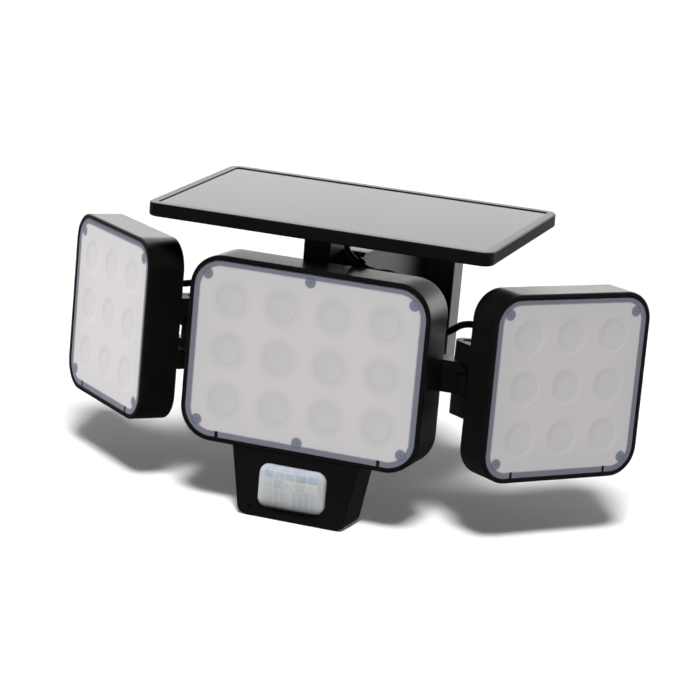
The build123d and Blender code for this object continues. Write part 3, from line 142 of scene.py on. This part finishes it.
# ---- Leads: control points of each route, in millimetres ----
SIDE_LEAD_D = 3.7
PANEL_LEAD_D = 3.2
LEADS = {
    "right_lead": {
        "node": "right_cable",
        "bodies": ("head", "right_head"),
        "d": SIDE_LEAD_D,
        "length": 61.9,
        "route": (
            (52, -138.7, -1.5), (52, -129.7, -1.5), (61.9, -121.7, 4.05),
            (72.9, -119.8, 12.05), (90.547, -119.286, 7), (97.744, -124.69, 7),
        ),
    },
    "left_lead": {
        "node": "left_cable",
        "bodies": ("head", "left_head"),
        "d": SIDE_LEAD_D,
        "length": 64.5,
        "route": (
            (-52, -138.7, -1.5), (-52, -129.7, -1.5), (-61.9, -121.7, 4.05),
            (-72.9, -119.8, 12.05), (-93.196, -122.127, 7), (-99.053, -128.96, 7),
        ),
    },
    "panel_lead": {
        "node": "panel_cable",
        "bodies": ("panel", "bracket"),
        "d": PANEL_LEAD_D,
        "length": None,
        "route": (
            (5.5, -133.584, 52.383), (5.5, -132.984, 44.406),
            (8.54, -133, 38.825), (14.7, -133, 35.5),
        ),
    },
    "panel_lead_lower": {
        "node": "panel_cable_lower",
        "bodies": ("bracket", "head"),
        "d": PANEL_LEAD_D,
        "length": 55.1,
        "route": (
            (14.7, -133, 35.5), (20.86, -133, 32.175), (32.2, -133.5, 34),
            (40.7, -131, 29.5), (44, -128.2, 21), (44, -128.7, 11), (44, -138.7, 11),
        ),
    },
}
LEAD_ROUND = 10  # points of the tube's section, per quarter
LEAD_SMOOTH = 16  # points between two control points

# ---- Studio ----
FLOOR_Z = -0.1012
STUDIO_R = 9.0
# name: azimuth, elevation, power, softness in degrees, and whether it casts a shadow
LIGHTS = {
    "key": (20.0, 51.0, 3.75, 13.0, True),
    "left": (-88.0, 5.0, 2.8, 24.0, False),
    "ceiling": (0.0, 88.0, 0.42, 110.0, True),
}
SCREEN_TOP = 1.9  # white screens behind the object, high up
SCREEN_HIGH = 2.6  # just above its level
SCREEN_LOW = 0.04  # and below it
SCREEN_DARK = 0.09  # the dark room in front of it
CARD_AT = Vector((0.065, 0.09, -0.012))
CARD_FACES = Vector((-0.335, -0.92, 0.2))
CARD_W, CARD_H = 0.09, 0.12
CARD_BRIGHT = 0.3

# ---- Camera ----
LOOK_AT = Vector((0.0253, -0.166, -0.00365))
CAMERA_AZ, CAMERA_EL, CAMERA_ROLL = 20.18, 11.79, 5.23
CAMERA_DISTANCE = 1.4155
LENS_MM, SENSOR_MM = 140.9, 36.0


# ---------------------------------------------------------------- material graph
class Graph:
    """A material's node tree, with short calls for the nodes used here."""

    def __init__(self, name):
        self.material = bpy.data.materials.new(name)
        self.material.use_nodes = True
        self.tree = self.material.node_tree
        self.shader = self.tree.nodes["Principled BSDF"]
        self.place = self.node("ShaderNodeTexCoord").outputs["Object"]

    def node(self, kind, **settings):
        made = self.tree.nodes.new(kind)
        for key, value in settings.items():
            setattr(made, key, value)
        return made

    def feed(self, socket, value):
        if isinstance(value, bpy.types.NodeSocket):
            self.tree.links.new(value, socket)
        elif value is not None:
            socket.default_value = value

    def set(self, **values):
        for key, value in values.items():
            self.feed(self.shader.inputs[key.replace("_", " ")], value)

    def maths(self, operation, a, b=None, clamp=False):
        made = self.node("ShaderNodeMath", operation=operation, use_clamp=clamp)
        self.feed(made.inputs[0], a)
        self.feed(made.inputs[1], b)
        return made.outputs[0]

    def vector(self, operation, a, b=None):
        made = self.node("ShaderNodeVectorMath", operation=operation)
        self.feed(made.inputs[0], a)
        self.feed(made.inputs[1], b)
        return made

    def dot(self, a, b):
        return self.vector("DOT_PRODUCT", a, b).outputs["Value"]

    def scaled(self, factors):
        return self.vector("MULTIPLY", self.place, factors).outputs["Vector"]

    def noise(self, scale, detail=3.0, roughness=0.55, at=None):
        made = self.node("ShaderNodeTexNoise")
        self.feed(made.inputs["Vector"], at or self.place)
        self.feed(made.inputs["Scale"], scale)
        self.feed(made.inputs["Detail"], detail)
        self.feed(made.inputs["Roughness"], roughness)
        return made.outputs["Fac"]

    def ramp(self, factor, low, high, start, end):
        """start to end, as factor goes smoothly from low to high."""
        made = self.node("ShaderNodeMapRange", interpolation_type="SMOOTHSTEP")
        self.feed(made.inputs["Value"], factor)
        self.feed(made.inputs["From Min"], low)
        self.feed(made.inputs["From Max"], high)
        self.feed(made.inputs["To Min"], start)
        self.feed(made.inputs["To Max"], end)
        return made.outputs["Result"]

    def blend(self, factor, a, b, kind="MIX"):
        made = self.node("ShaderNodeMix", data_type="RGBA", blend_type=kind)
        self.feed(made.inputs[0], factor)
        self.feed(made.inputs[6], a)
        self.feed(made.inputs[7], b)
        return made.outputs[2]

    def bump(self, height, distance, strength=1.0):
        made = self.node("ShaderNodeBump")
        self.feed(made.inputs["Strength"], strength)
        self.feed(made.inputs["Distance"], distance)
        self.feed(made.inputs["Height"], height)
        self.feed(self.shader.inputs["Normal"], made.outputs["Normal"])


def shade(level, tint=(1.0, 1.0, 1.0)):
    """An opaque colour of that brightness."""
    return (level * tint[0], level * tint[1], level * tint[2], 1.0)


# ---------------------------------------------------------------- materials
def moulded(name, dark, light, rough, grain=2600.0, depth=0.000012, specular=0.35):
    """Moulded plastic or rubber: cloudy colour, a fine spark-eroded grain and a
    gloss that changes a little from place to place."""
    g = Graph(name)
    cloud = g.noise(55.0, 4.0)
    g.set(Base_Color=g.blend(g.ramp(cloud, 0.35, 0.65, 0.0, 1.0), dark, light))
    g.set(Roughness=g.ramp(g.noise(140.0, 5.0), 0.3, 0.7, rough[0], rough[1]))
    g.set(Specular_IOR_Level=specular)
    g.bump(g.noise(grain, 2.0, 0.6), depth, 0.5)
    return g.material


def brushed(name, colour, rough, metallic=1.0):
    """Plated or turned metal, with fine lines and a slight stain."""
    g = Graph(name)
    lines = g.noise(900.0, 3.0, 0.7, at=g.scaled((1.0, 0.12, 1.0)))
    stain = g.noise(80.0, 3.0)
    darker = tuple(c * 0.7 for c in colour[:3]) + (1.0,)
    g.set(Base_Color=g.blend(g.ramp(stain, 0.35, 0.7, 0.0, 1.0), colour, darker))
    g.set(Roughness=g.ramp(lines, 0.3, 0.7, rough[0], rough[1]), Metallic=metallic)
    g.bump(lines, 0.00001, 0.4)
    return g.material


def window_material(head, window):
    """A frosted window. It is opaque, so what shows through a real one is drawn on it:
    the housing's shelf and screw lugs as a blue-grey border and discs, and each
    lamp cup as a soft ring of painted shade with a lighter painted floor and painted
    highlights and shade on its sides. The window is also painted darker towards its outline."""
    g = Graph("frosted_" + head)
    low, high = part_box(head + "_lens")
    yaw = math.radians(window["yaw"])
    across = (math.cos(yaw), math.sin(yaw), 0.0)
    away = g.vector("SUBTRACT", g.place, tuple((low + high) / 2)).outputs["Vector"]
    in_mm = g.vector("SCALE", away)
    in_mm.inputs["Scale"].default_value = 1.0 / MM
    x = g.dot(in_mm.outputs["Vector"], across)
    z = g.dot(in_mm.outputs["Vector"], tuple(UP))
    wobble = g.maths("MULTIPLY", g.maths("SUBTRACT", g.noise(420.0, 4.0), 0.5), 0.5)

    # distance in from the window's rounded outline
    corner = window["corner"] - LENS_INSET
    half = [side / 2 - LENS_INSET - corner for side in window["size"]]
    qx = g.maths("SUBTRACT", g.maths("ABSOLUTE", x), half[0])
    qz = g.maths("SUBTRACT", g.maths("ABSOLUTE", z), half[1])
    outer = g.maths(
        "SQRT",
        g.maths(
            "ADD",
            g.maths("POWER", g.maths("MAXIMUM", qx, 0.0), 2.0),
            g.maths("POWER", g.maths("MAXIMUM", qz, 0.0), 2.0),
        ),
    )
    inner = g.maths("MINIMUM", g.maths("MAXIMUM", qx, qz), 0.0)
    edge = g.maths("SUBTRACT", corner, g.maths("ADD", outer, inner))
    band = g.ramp(g.maths("ADD", edge, wobble), BAND_W - 0.6, BAND_W + 0.6, 1.0, 0.0)
    # painted shade: the window is darker towards its outline and lighter further in
    glow = g.ramp(edge, 0.0, EDGE_SHADE_REACH, 0.0, 1.0)

    def from_point(px, pz):
        dx = g.maths("SUBTRACT", g.maths("ABSOLUTE", x), px)
        dz = g.maths("SUBTRACT", g.maths("ABSOLUTE", z), pz)
        return g.maths(
            "SQRT", g.maths("ADD", g.maths("MULTIPLY", dx, dx), g.maths("MULTIPLY", dz, dz))
        )

    lug = from_point(*window["corner_lug"])
    if window["middle_lug"]:
        lug = g.maths("MINIMUM", lug, from_point(0.0, window["middle_lug"]))
    disc = g.ramp(lug, LUG_R - 0.7, LUG_R + 0.5, 1.0, 0.0)
    ring = g.maths("MULTIPLY", g.ramp(lug, 0.7, 1.3, 0.0, 1.0), g.ramp(lug, 1.4, 2.0, 1.0, 0.0))

    # place within the nearest lamp cup
    def to_cup(value, pitch, even):
        shifted = g.maths("ADD", value, pitch / 2 if even else 0.0)
        whole = g.maths("ROUND", g.maths("DIVIDE", shifted, pitch))
        return g.maths("SUBTRACT", shifted, g.maths("MULTIPLY", whole, pitch))

    cup_x = to_cup(x, window["pitch"][0], window["columns"] % 2 == 0)
    cup_z = to_cup(z, window["pitch"][1], False)
    cup = g.maths(
        "SQRT", g.maths("ADD", g.maths("MULTIPLY", cup_x, cup_x), g.maths("MULTIPLY", cup_z, cup_z))
    )
    side = g.maths(
        "DIVIDE",
        g.maths(
            "SUBTRACT",
            g.maths("MULTIPLY", cup_x, LIT_FROM[0]),
            g.maths("MULTIPLY", cup_z, LIT_FROM[1]),
        ),
        g.maths("MAXIMUM", cup, 0.5),
    )

    def ring_at(radius, half):
        return g.maths(
            "MULTIPLY",
            g.ramp(cup, radius - half, radius, 0.0, 1.0),
            g.ramp(cup, radius, radius + half, 1.0, 0.0),
        )

    # painted shade filling each lamp cup and fading out past its rim, and painted light on the cup's
    # floor, lighter and a little warmer
    cup_shade = g.ramp(cup, CUP_R - 2.8, CUP_R + window["spread"], 1.0, 0.0)
    cup_floor_light = g.ramp(cup, CUP_FLOOR_R - 2.4, CUP_FLOOR_R + 1.2, 1.0, 0.0)
    lit_side = g.maths("MAXIMUM", side, 0.0)
    frost = g.blend(glow, shade(0.70, (1.0, 0.97, 0.99)), shade(0.745, (1.0, 0.955, 0.962)))
    frost = g.blend(
        g.maths("MULTIPLY", cup_shade, window["depth"]), frost, shade(0.5, (0.97, 0.99, 0.98))
    )
    frost = g.blend(
        g.maths("MULTIPLY", cup_floor_light, window["depth"] * 0.55),
        frost,
        shade(0.78, (1.0, 0.975, 0.94)),
    )
    # painted light and shade: each cup's rim lighter on its lit side and darker on the other, and a
    # darker ring inside the rim on the shaded side
    painted_cup_shading = g.maths("MULTIPLY", g.maths("MULTIPLY", ring_at(CUP_R - 0.6, 1.3), side), window["rim"])
    dark_side = g.maths("MULTIPLY", ring_at(CUP_R - 2.3, 1.7), g.maths("SUBTRACT", side, 0.4))
    painted_cup_shading = g.maths("ADD", painted_cup_shading, g.maths("MULTIPLY", dark_side, window["rim"] * 0.5))
    # painted highlights: two arc-shaped lighter lines on the lit side of each cup's floor
    arcs = g.maths(
        "ADD", ring_at(CUP_FLOOR_R - 0.4, 0.9), g.maths("MULTIPLY", ring_at(CUP_ARC_R, 0.8), 0.7)
    )
    arcs = g.maths("MULTIPLY", g.maths("MULTIPLY", arcs, lit_side), window["arcs"])
    painted_cup_shading = g.maths("ADD", painted_cup_shading, arcs)
    brightness = g.maths("ADD", painted_cup_shading, 1.0)
    frost = g.vector("SCALE", frost)
    g.feed(frost.inputs["Scale"], brightness)
    colour = g.blend(band, frost.outputs["Vector"], shade(0.235, (0.93, 0.97, 1.16)))
    colour = g.blend(g.maths("MULTIPLY", disc, 0.88), colour, shade(0.18, (0.86, 0.96, 1.36)))
    colour = g.blend(g.maths("MULTIPLY", ring, 0.3), colour, shade(0.36, (0.93, 0.97, 1.15)))
    dot = g.ramp(lug, LUG_DOT_R, 1.1, 0.4, 0.0)
    colour = g.blend(dot, colour, shade(0.12, (0.86, 0.96, 1.3)))
    g.set(Base_Color=colour)
    g.set(Roughness=g.ramp(g.noise(260.0, 4.0), 0.3, 0.7, 0.46, 0.56))
    g.set(Specular_IOR_Level=0.3)
    g.bump(g.noise(3200.0, 2.0), 0.000008, 0.4)
    return g.material


def pir_material():
    """Milky polyethylene: each lenslet has its own tone, with fine concentric grooves.
    Painted shade darkens the top of the window, next to the housing's dark inside, and its
    bottom edge, and painted highlights run along the borders between lenslets."""
    g = Graph("milky_window")
    height = g.dot(g.place, tuple(UP))
    top = (PIR_Z + PIR_H / 2) * MM
    foot = (PIR_Z - PIR_H / 2) * MM
    top_shade = g.ramp(height, top - 0.008, top - 0.001, 0.0, 1.0)
    cell = g.node("ShaderNodeAttribute", attribute_name="lenslet").outputs["Fac"]
    bright = g.node("ShaderNodeAttribute", attribute_name="bright").outputs["Fac"]
    groove = g.node("ShaderNodeAttribute", attribute_name="groove").outputs["Fac"]
    tone = g.node("ShaderNodeTexWhiteNoise", noise_dimensions="1D")
    g.feed(tone.inputs["W"], g.maths("FLOOR", cell))
    level = g.maths("MULTIPLY", g.maths("SUBTRACT", tone.outputs["Value"], 0.5), 0.55)
    level = g.maths("ADD", level, bright, clamp=True)
    colour = g.blend(
        level, shade(0.42, (0.9, 1.0, 1.13)), shade(0.66, (1.0, 0.98, 0.93))
    )
    # painted shade: darker and bluer along the top of the window
    colour = g.blend(g.maths("MULTIPLY", top_shade, 0.6), colour, shade(0.4, (0.82, 0.96, 1.25)))
    # painted shade: darker and bluer along the bottom edge of the window
    colour = g.blend(
        g.ramp(height, foot, foot + 0.004, 0.3, 0.0), colour, shade(0.48, (0.93, 0.99, 1.12))
    )
    # painted highlight: lighter lines along the borders between lenslets
    colour = g.blend(g.maths("MULTIPLY", groove, 0.45), colour, shade(0.82, (0.98, 1.0, 1.0)))
    colour = g.blend(g.ramp(g.noise(300.0), 0.4, 0.7, 0.0, 0.15), colour, shade(0.8))
    g.set(Base_Color=colour)
    g.set(Roughness=g.ramp(g.noise(500.0), 0.3, 0.7, 0.2, 0.28))
    g.set(Subsurface_Weight=0.15, Subsurface_Radius=(0.002, 0.002, 0.002))
    rings = g.node("ShaderNodeTexWave", bands_direction="Z")
    g.feed(rings.inputs["Vector"], g.place)
    g.feed(rings.inputs["Scale"], 420.0)
    g.bump(rings.outputs["Fac"], 0.00002, 0.3)
    return g.material


def glass_material():
    """Glass bonded onto the cells. It is opaque, so the cells, their printed silver
    fingers and the gaps between them are drawn on it."""
    g = Graph("panel_glass")
    low, high = (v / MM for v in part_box("panel_glass"))
    wide, long = high.x - low.x - 2 * CELL_MARGIN, high.y - low.y - 2 * CELL_MARGIN
    away = g.vector("SUBTRACT", g.place, tuple((low + high) / 2 * MM)).outputs["Vector"]
    in_mm = g.vector("SCALE", away)
    in_mm.inputs["Scale"].default_value = 1.0 / MM

    def place_in_cell(axis, span, count):
        value = g.maths("DIVIDE", g.dot(in_mm.outputs["Vector"], axis), span / count)
        shifted = g.maths("ADD", value, count / 2)
        part = g.maths("ABSOLUTE", g.maths("SUBTRACT", g.maths("FRACT", shifted), 0.5))
        return g.maths("MULTIPLY", part, span / count), shifted

    x, along = place_in_cell((1.0, 0.0, 0.0), wide, CELL_COLUMNS)
    y, across = place_in_cell((0.0, 1.0, 0.0), long, CELL_ROWS)
    half_x, half_y = wide / CELL_COLUMNS / 2, long / CELL_ROWS / 2
    gap = g.maths(
        "MAXIMUM",
        g.ramp(x, half_x - CELL_GAP, half_x - CELL_GAP * 0.6, 0.0, 1.0),
        g.ramp(y, half_y - CELL_GAP, half_y - CELL_GAP * 0.6, 0.0, 1.0),
    )
    finger = g.maths("FRACT", g.maths("DIVIDE", y, FINGER_PITCH))
    bar = g.maths("ABSOLUTE", g.maths("SUBTRACT", x, half_x / 2))
    silver = g.maths(
        "MAXIMUM",
        g.ramp(finger, 0.05, 0.12, 0.25, 0.0),
        g.ramp(bar, BUSBAR_HALF_W, BUSBAR_EDGE, 0.7, 0.0),
    )
    cell = g.blend(
        g.noise(60.0, 5.0), shade(0.009, (0.75, 0.9, 1.4)), shade(0.02, (0.75, 0.92, 1.5))
    )
    cell = g.blend(silver, cell, shade(0.05))
    g.set(Base_Color=g.blend(gap, cell, shade(0.008)))
    g.set(Roughness=g.ramp(g.noise(90.0, 5.0), 0.35, 0.7, 0.11, 0.13))
    g.set(Specular_IOR_Level=0.18)
    g.bump(g.noise(900.0, 2.0), 0.000004, 0.3)
    return g.material


def silicon_material():
    """Dark blue-grey wafers."""
    g = Graph("silicon")
    body = g.blend(g.noise(70.0, 5.0), shade(0.012, (0.7, 0.85, 1.5)), shade(0.03, (0.7, 0.9, 1.6)))
    g.set(Base_Color=body)
    g.set(Roughness=g.ramp(g.noise(200.0), 0.3, 0.7, 0.22, 0.34))
    g.bump(g.noise(1500.0), 0.00001, 0.4)
    return g.material


def board_material(name, mask, track):
    """Circuit board: solder mask with slightly raised tracks under it."""
    g = Graph(name)
    cells = g.node("ShaderNodeTexVoronoi", distance="MANHATTAN")
    g.feed(cells.inputs["Vector"], g.place)
    g.feed(cells.inputs["Scale"], 320.0)
    lines = g.ramp(cells.outputs["Distance"], 0.35, 0.5, 0.0, 1.0)
    g.set(Base_Color=g.blend(lines, mask, track))
    g.set(Roughness=g.ramp(g.noise(300.0), 0.3, 0.7, 0.28, 0.42))
    g.bump(lines, 0.00003, 0.5)
    return g.material


def make_materials():
    black = (shade(0.0040, (1.0, 1.0, 1.05)), shade(0.0055, (1.0, 1.0, 1.05)))
    return {
        "black_plastic": moulded("black_plastic", *black, (0.325, 0.35)),
        "white_reflector": moulded(
            "white_reflector", shade(0.8), shade(0.86), (0.2, 0.3), 900.0, 0.000004, 0.5
        ),
        "led_board": board_material("led_board", shade(0.78), shade(0.7, (1.0, 0.99, 0.95))),
        "led_package": moulded(
            "led_package", (0.8, 0.55, 0.08, 1), (0.86, 0.65, 0.14, 1), (0.25, 0.4), 1800.0
        ),
        "circuit_board": board_material(
            "circuit_board", (0.008, 0.06, 0.02, 1), (0.02, 0.13, 0.05, 1)
        ),
        "chips": moulded("chips", shade(0.008), shade(0.016), (0.45, 0.6), 3000.0),
        "sensor_can": brushed("sensor_can", shade(0.62, (1.0, 0.99, 0.96)), (0.22, 0.36)),
        "photo_cell": moulded(
            "photo_cell", (0.02, 0.004, 0.004, 1), (0.035, 0.007, 0.006, 1), (0.1, 0.2)
        ),
        "seal_rubber": moulded("seal_rubber", shade(0.01), shade(0.018), (0.6, 0.75), 1500.0),
        "screw_steel": brushed("screw_steel", shade(0.55, (1.0, 1.0, 1.02)), (0.22, 0.4)),
        "dark_steel": brushed("dark_steel", shade(0.035), (0.3, 0.45), 0.8),
        "battery_wrap": moulded(
            "battery_wrap", (0.03, 0.12, 0.3, 1), (0.04, 0.15, 0.36, 1), (0.15, 0.3), 500.0
        ),
        "button_rubber": moulded("button_rubber", shade(0.012), shade(0.02), (0.55, 0.7), 1800.0),
        "panel_glass": glass_material(),
        "silicon": silicon_material(),
        "backsheet": moulded("backsheet", shade(0.012), shade(0.02), (0.4, 0.55), 700.0, 0.00003),
        "cable_black": moulded("cable_black", shade(0.006), shade(0.012), (0.36, 0.5), 1500.0),
        "sensor_window": pir_material(),
    }


def assign_materials(materials):
    """Each CAD node takes the material of its slot in the record, and each window
    its own, because the cups behind it differ."""
    for part in frame["record"]["subparts"]:
        name = part["node"]
        material = materials.get(part["material_slot"])
        for head in WINDOWS:
            if name == head + "_lens":
                material = window_material(head, WINDOWS[head])
        mesh = nodes[name].data
        mesh.materials.clear()
        mesh.materials.append(material)


# ---------------------------------------------------------------- pieces
def dome_height(x, z):
    """How far the sensor window stands out of its housing at a place on it."""
    flat_x = max(0.0, 1.0 - abs(2 * x / PIR_W) ** 2.6)
    flat_z = max(0.0, 1.0 - abs(2 * z / PIR_H) ** 3.2)
    return PIR_BULGE * (flat_x * flat_z) ** 0.42


def lenslet(x, z):
    """The lenslet at a place on the window: its number, its row's brightness, how
    far it bulges there from 0 to 1, and how near the place is to its border."""
    if abs(x) > GRID_HALF_W or not GRID_FOOT < z < GRID_TOP:
        return 0, 0.5, 0.0, 0.0
    height = GRID_TOP - GRID_FOOT
    down = (GRID_TOP - z) / height
    top, row = 0.0, 0
    while row < len(PIR_ROWS) - 1 and down > top + PIR_ROWS[row][0]:
        top += PIR_ROWS[row][0]
        row += 1
    share, count, bright = PIR_ROWS[row]
    along = (x / GRID_HALF_W + 1) / 2 * count
    column = min(count - 1, int(along))
    s = 2 * (along - column) - 1
    t = 2 * (down - top) / share - 1
    to_side = (1 - abs(s)) * GRID_HALF_W / count
    to_end = (1 - abs(t)) * share * height / 2
    groove = max(0.0, 1 - min(to_side, to_end) / GROOVE_W)
    return row * 10 + column + 1, bright, (1 - s ** 4) * (1 - t ** 4), groove


def build_sensor_window(material):
    """The domed sensor window: a grid of small convex lenslets on a pillow shape,
    with its skirt going back into the housing."""
    rows = int(PIR_H / PIR_STEP)
    columns = int(PIR_W / PIR_STEP)
    points, numbers, brights, grooves = [], [], [], []
    for i in range(rows + 1):
        z = PIR_H * (0.5 - i / rows)
        into_corner = max(0.0, abs(z) - (PIR_H / 2 - PIR_R))
        half = PIR_W / 2 - PIR_R + math.sqrt(max(0.0, PIR_R ** 2 - into_corner ** 2))
        for j in range(columns + 1):
            x = half * (2 * j / columns - 1)
            number, bright, middle, groove = lenslet(x, z)
            out = dome_height(x * PIR_W / 2 / half, z) + PIR_FACET * middle
            points.append(((PIR_X + x) * MM, (PIR_Y - out) * MM, (PIR_Z + z) * MM))
            numbers.append(number + 0.5)
            brights.append(bright)
            grooves.append(groove)
    faces = []
    for i in range(rows):
        for j in range(columns):
            a = i * (columns + 1) + j
            faces.append((a, a + columns + 1, a + columns + 2, a + 1))
    rim = list(range(columns + 1))
    rim += [i * (columns + 1) + columns for i in range(1, rows + 1)]
    rim += [rows * (columns + 1) + j for j in range(columns - 1, -1, -1)]
    rim += [i * (columns + 1) for i in range(rows - 1, 0, -1)]
    back = len(points)
    for k in rim:
        x, y, z = points[k]
        points.append((x, y + PIR_WALL * MM, z))
        numbers.append(0.5)
        brights.append(0.5)
        grooves.append(0.0)
    for k in range(len(rim)):
        after = (k + 1) % len(rim)
        faces.append((rim[k], rim[after], back + after, back + k))
    mesh = bpy.data.meshes.new("sensor_window")
    mesh.from_pydata(points, [], faces)
    for name, values in (("lenslet", numbers), ("bright", brights), ("groove", grooves)):
        mesh.attributes.new(name, "FLOAT", "POINT").data.foreach_set("value", values)
    mesh.shade_smooth()
    mesh.materials.append(material)
    piece = bpy.data.objects.new("sensor_window", mesh)
    bpy.context.scene.collection.objects.link(piece)
    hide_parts("sensor_lens")
    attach(piece, "head")


def lead_curve(name, route, diameter):
    """A NURBS curve whose control points are the route."""
    curve = bpy.data.curves.new(name, "CURVE")
    curve.dimensions = "3D"
    curve.resolution_u = LEAD_SMOOTH
    spline = curve.splines.new("NURBS")
    spline.points.add(len(route) - 1)
    for point, place in zip(spline.points, route):
        point.co = (place[0] * MM, place[1] * MM, place[2] * MM, 1.0)
    spline.order_u = 3
    spline.use_endpoint_u = True
    curve.bevel_depth = diameter * MM / 2
    curve.bevel_resolution = LEAD_ROUND
    curve.use_fill_caps = True
    return curve


def mesh_of(curve):
    """The mesh that a curve makes, and nothing of the curve left in the scene."""
    holder = bpy.data.objects.new(curve.name + "_line", curve)
    bpy.context.scene.collection.objects.link(holder)
    bpy.context.view_layer.update()
    depsgraph = bpy.context.evaluated_depsgraph_get()
    mesh = bpy.data.meshes.new_from_object(holder.evaluated_get(depsgraph))
    bpy.data.objects.remove(holder)
    return mesh


def build_leads(material):
    """The leads between the heads, the panel and the bracket."""
    for name, lead in LEADS.items():
        line = mesh_of(lead_curve(name, lead["route"], 0.0))
        mesh = mesh_of(lead_curve(name, lead["route"], lead["d"]))
        mesh.name = name
        mesh.shade_smooth()
        mesh.materials.clear()
        mesh.materials.append(material)
        piece = bpy.data.objects.new(name, mesh)
        bpy.context.scene.collection.objects.link(piece)
        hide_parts(lead["node"])
        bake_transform(piece)


# ---------------------------------------------------------------- studio
def floor_material():
    g = Graph("paper_floor")
    g.set(Base_Color=g.blend(g.noise(2.0), shade(0.97), shade(0.98)), Roughness=0.9)
    g.set(Specular_IOR_Level=0.0)
    return g.material


def backdrop_material():
    """White paper that glows evenly, as if lit from outside the scene."""
    g = Graph("paper_backdrop")
    g.set(Base_Color=shade(0.9), Emission_Color=shade(1.0), Emission_Strength=1.1)
    return g.material


def build_studio():
    """A white floor and a white room round it. The room is seen directly, and the
    object's gloss shows the screens in the world instead."""
    bpy.ops.mesh.primitive_circle_add(vertices=96, radius=STUDIO_R, fill_type="NGON")
    floor = bpy.context.object
    floor.name = "floor"
    floor.location.z = FLOOR_Z
    floor.data.materials.append(floor_material())
    floor.visible_glossy = False
    floor.visible_diffuse = False
    bpy.ops.mesh.primitive_uv_sphere_add(segments=48, ring_count=24, radius=STUDIO_R)
    room = bpy.context.object
    room.name = "room"
    room.data.materials.append(backdrop_material())
    room.visible_diffuse = False
    room.visible_glossy = False
    room.visible_transmission = False
    room.visible_shadow = False


def build_card():
    """A small white card behind the wall box, which its right side shows. Only gloss
    sees it."""
    bpy.ops.mesh.primitive_plane_add(size=1.0)
    card = bpy.context.object
    card.name = "card"
    card.scale = (CARD_W, CARD_H, 1.0)
    card.location = CARD_AT
    card.rotation_euler = CARD_FACES.to_track_quat("Z", "Y").to_euler()
    glow = Graph("card")
    glow.set(Base_Color=shade(0.9), Emission_Color=shade(1.0), Emission_Strength=CARD_BRIGHT)
    card.data.materials.append(glow.material)
    card.visible_camera = False
    card.visible_diffuse = False
    card.visible_transmission = False
    card.visible_shadow = False


def build_world():
    """Bright screens behind and above, and a dark room in front, for the gloss."""
    world = bpy.data.worlds.new("studio")
    bpy.context.scene.world = world
    world.use_nodes = True
    tree = world.node_tree
    background = tree.nodes["Background"]
    place = tree.nodes.new("ShaderNodeTexCoord").outputs["Generated"]
    split = tree.nodes.new("ShaderNodeSeparateXYZ")
    tree.links.new(place, split.inputs[0])

    def ramp(value, low, high, start, end):
        made = tree.nodes.new("ShaderNodeMapRange")
        made.interpolation_type = "SMOOTHSTEP"
        tree.links.new(value, made.inputs["Value"])
        made.inputs["From Min"].default_value = low
        made.inputs["From Max"].default_value = high
        made.inputs["To Min"].default_value = start
        if isinstance(end, bpy.types.NodeSocket):
            tree.links.new(end, made.inputs["To Max"])
        else:
            made.inputs["To Max"].default_value = end
        return made.outputs["Result"]

    upper = ramp(split.outputs["Z"], 0.21, 0.33, SCREEN_HIGH, SCREEN_TOP)
    screens = ramp(split.outputs["Z"], -0.17, 0.12, SCREEN_LOW, upper)
    strength = ramp(split.outputs["Y"], -0.1, 0.75, SCREEN_DARK, screens)
    tree.links.new(strength, background.inputs["Strength"])
    background.inputs["Color"].default_value = (1.0, 0.985, 0.975, 1.0)
    world.cycles_visibility.diffuse = False


def add_sun(name, azimuth, elevation, power, soft, shadow):
    """A soft light from that direction; azimuth 0 is the front, 90 the right. The
    gloss shows the screens only."""
    light = bpy.data.lights.new(name, "SUN")
    light.energy = power
    light.angle = math.radians(soft)
    light.use_shadow = shadow
    lamp = bpy.data.objects.new(name, light)
    bpy.context.scene.collection.objects.link(lamp)
    a, e = math.radians(azimuth), math.radians(elevation)
    towards = Vector((math.sin(a) * math.cos(e), -math.cos(a) * math.cos(e), math.sin(e)))
    lamp.rotation_euler = towards.to_track_quat("Z", "Y").to_euler()
    lamp.visible_glossy = False


def build_camera():
    a, e, r = (math.radians(v) for v in (CAMERA_AZ, CAMERA_EL, CAMERA_ROLL))
    back = Vector((math.sin(a) * math.cos(e), -math.cos(a) * math.cos(e), math.sin(e)))
    right = (-back).cross(UP).normalized()
    up = right.cross(-back)
    turned = math.cos(r) * right + math.sin(r) * up
    upright = math.cos(r) * up - math.sin(r) * right
    data = bpy.data.cameras.new("camera")
    data.lens = LENS_MM
    data.sensor_width = SENSOR_MM
    camera = bpy.data.objects.new("camera", data)
    bpy.context.scene.collection.objects.link(camera)
    axes = Matrix((turned, upright, back)).transposed().to_4x4()
    camera.matrix_world = Matrix.Translation(LOOK_AT + back * CAMERA_DISTANCE) @ axes
    bpy.context.scene.camera = camera


materials = make_materials()
assign_materials(materials)
build_sensor_window(materials["sensor_window"])
build_leads(materials["cable_black"])
build_studio()
build_card()
build_world()
for name, values in LIGHTS.items():
    add_sun(name, *values)
build_camera()
bpy.context.scene.view_settings.view_transform = "Standard"
